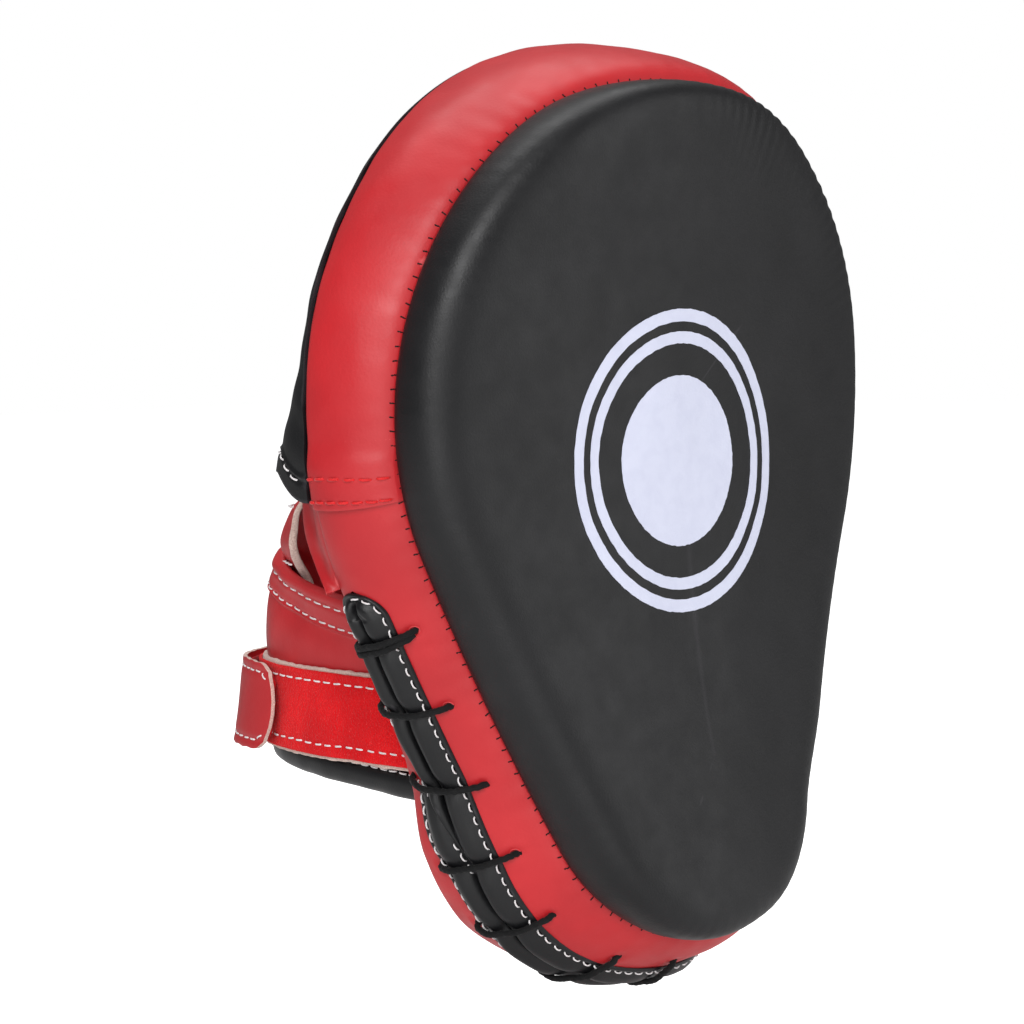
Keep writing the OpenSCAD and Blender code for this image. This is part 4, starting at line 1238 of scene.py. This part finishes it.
def closing_strap():
    v = np.linspace(-1, 1, 30)[:, None]
    for k, (body_a, body_b, phi_fold) in enumerate(STRAP_FOLDS):
        phi = even_phis(lambda a: strap_point(a, STRAP_Z + 0 * a), STRAP_BREAKS[k + 1], STRAP_BREAKS[k], 0.9)
        half = strap_half(phi, STRAP_W / 2) + 0.15 * waves(np.radians(phi) * 60, 0 * phi, 4, 131)
        z = STRAP_Z + v * half
        grid = strap_skin(phi + 0 * z, z)
        piece = Piece(f"closing_strap_{k + 1}").sheet(grid, away=(0, 0, STRAP_Z)).build(RED, RAW)
        bend = fold(body_a, body_b, phi_fold)
        ready(thicken(piece, rim=1, rounding=0.25), "red_leather", bend, *STRAP_NODES[k])
        run = np.linspace(phi[0] + (3.0 if k == 2 else 0.4), phi[-1] - 0.4, 200)
        off = np.maximum(strap_half(run, STRAP_W / 2) - 2.6, 0.5)
        rows = [arch_row(strap_skin, run, STRAP_Z + side * off, 0.05) for side in (-1, 1)]
        stitches(f"closing_strap_stitches_{k + 1}", rows, "white_thread", bend, length=3.0, gap=1.3)
    phi = even_phis(lambda a: strap_point(a, STRAP_Z + 0 * a), END_PHI + 2, STRAP_BREAKS[2], 0.9)
    z = STRAP_Z + v * strap_half(phi, STRAP_W / 2 - HOOK_INSET)
    grid = strap_skin(phi + 0 * z, z, -1.3 + 0.1 * waves(phi * 1.2, z, 3, 141))
    piece = Piece("hook_tape_pile").sheet(grid, away=(0, 0, STRAP_Z)).build(LOOKS["hook_tape"])
    ready(thicken(piece, 0.9, rounding=0.3), "hook_tape", fold(*STRAP_FOLDS[2]), "hook_tape", "hook_tip_tape")


# ---------------------------------------------------------------- carried-over foam
def foams():
    """The foam layers keep their CAD shape inside the covers, with an open-cell material."""
    for name in ("rear_foam", "palm_ball_foam"):
        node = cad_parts[name]
        node.data.materials.clear()
        node.data.materials.append(LOOKS["foam"])


# ---------------------------------------------------------------- studio
CAMERA_AZ, CAMERA_EL, CAMERA_ROLL = -50.4, 3.0, -0.75
CAMERA_AWAY = 700.0
AIM_LEFT, AIM_DOWN = 0.0642, 0.0198      # the aim is left of and below the target
LENS, SENSOR = 91.55, 36.0
FLOOR_DROP = 60.0


def camera():
    az, el, roll = np.radians([CAMERA_AZ, CAMERA_EL, CAMERA_ROLL])
    aim = node_middle("target_print")
    aim[1] = -PAD_T
    back = np.array([np.sin(az) * np.cos(el), -np.cos(az) * np.cos(el), np.sin(el)])
    right = np.array([np.cos(az), np.sin(az), 0.0])
    up = np.cross(right, -back)
    right, up = np.cos(roll) * right + np.sin(roll) * up, np.cos(roll) * up - np.sin(roll) * right
    look = unit(-back - AIM_LEFT * right - AIM_DOWN * up)
    up = unit(up - look * (up @ look))
    place = (aim + CAMERA_AWAY * back) * MM
    data = bpy.data.cameras.new("camera")
    data.lens, data.sensor_width = LENS, SENSOR
    data.clip_start = 0.05
    made = bpy.data.objects.new("camera", data)
    turn = Matrix([Vector(np.cross(look, up)), Vector(up), Vector(-look)]).transposed()
    made.matrix_world = Matrix.Translation(Vector(place)) @ turn.to_4x4()
    bpy.context.scene.collection.objects.link(made)
    bpy.context.scene.camera = made


def softbox(name, place, aim, size, power, tint=(1, 1, 1)):
    data = bpy.data.lights.new(name, "AREA")
    data.shape, data.size, data.size_y = "RECTANGLE", size[0], size[1]
    data.energy, data.color = power, tint
    made = bpy.data.objects.new(name, data)
    made.location = place
    made.rotation_euler = (Vector(aim) - Vector(place)).to_track_quat("-Z", "Y").to_euler()
    bpy.context.scene.collection.objects.link(made)


def studio():
    world = bpy.data.worlds.new("studio")
    bpy.context.scene.world = world
    world.use_nodes = True
    tree = world.node_tree
    seen, around = (tree.nodes.new("ShaderNodeBackground") for _ in range(2))
    seen.inputs["Color"].default_value = (1, 1, 1, 1)
    around.inputs["Color"].default_value = (1, 1, 1, 1)
    around.inputs["Strength"].default_value = 0.2
    path, mixed = tree.nodes.new("ShaderNodeLightPath"), tree.nodes.new("ShaderNodeMixShader")
    tree.links.new(path.outputs["Is Camera Ray"], mixed.inputs[0])
    tree.links.new(around.outputs[0], mixed.inputs[1])
    tree.links.new(seen.outputs[0], mixed.inputs[2])
    output = next(n for n in tree.nodes if n.type == "OUTPUT_WORLD")
    tree.links.new(mixed.outputs[0], output.inputs["Surface"])
    aim = (-0.02, -0.02, 0.02)
    softbox("key", (-1.05, -0.75, 0.75), aim, (0.9, 0.9), 17)
    softbox("fill", (0.75, -1.25, 0.35), aim, (1.0, 1.2), 6)
    softbox("top", (0.1, 0.2, 1.3), aim, (1.2, 0.8), 9)
    softbox("low", (-0.7, -0.9, -0.12), aim, (0.9, 0.25), 2.5)
    look = Look("floor")
    soft = look.noise(300, 2)
    paper = look.finish(look.mix(soft, (0.93, 0.93, 0.93, 1), (0.9, 0.9, 0.9, 1)), 0.9,
                        look.bump(look.noise(4, 3), 0.02, 0.2))
    look.shader.inputs["Emission Color"].default_value = (1, 1, 1, 1)
    look.put(look.shader.inputs["Emission Strength"], look.node("ShaderNodeLightPath", output="Is Camera Ray"))
    low = cad_box[0][2] / MM - FLOOR_DROP
    half = 6000.0
    grid = np.array([[[-half, -half, low], [half, -half, low]], [[-half, half, low], [half, half, low]]])
    floor = Piece("floor").sheet(grid, away=(0, 0, low - 100)).build(paper)
    bpy.context.scene.view_settings.view_transform = "Standard"


# ---------------------------------------------------------------- assembly
camera()
striking_face()
pad_foam()
target()
finger_end()
heel_side()
lacing()
seam_ticks()
back_of_pad()
palm_ball()
hood()
side_gusset()
finger_panel()
inside_parts()
wrist_panel()
cuff_padding()
cuff_edge()
loop_side()
closing_strap()
foams()
studio()
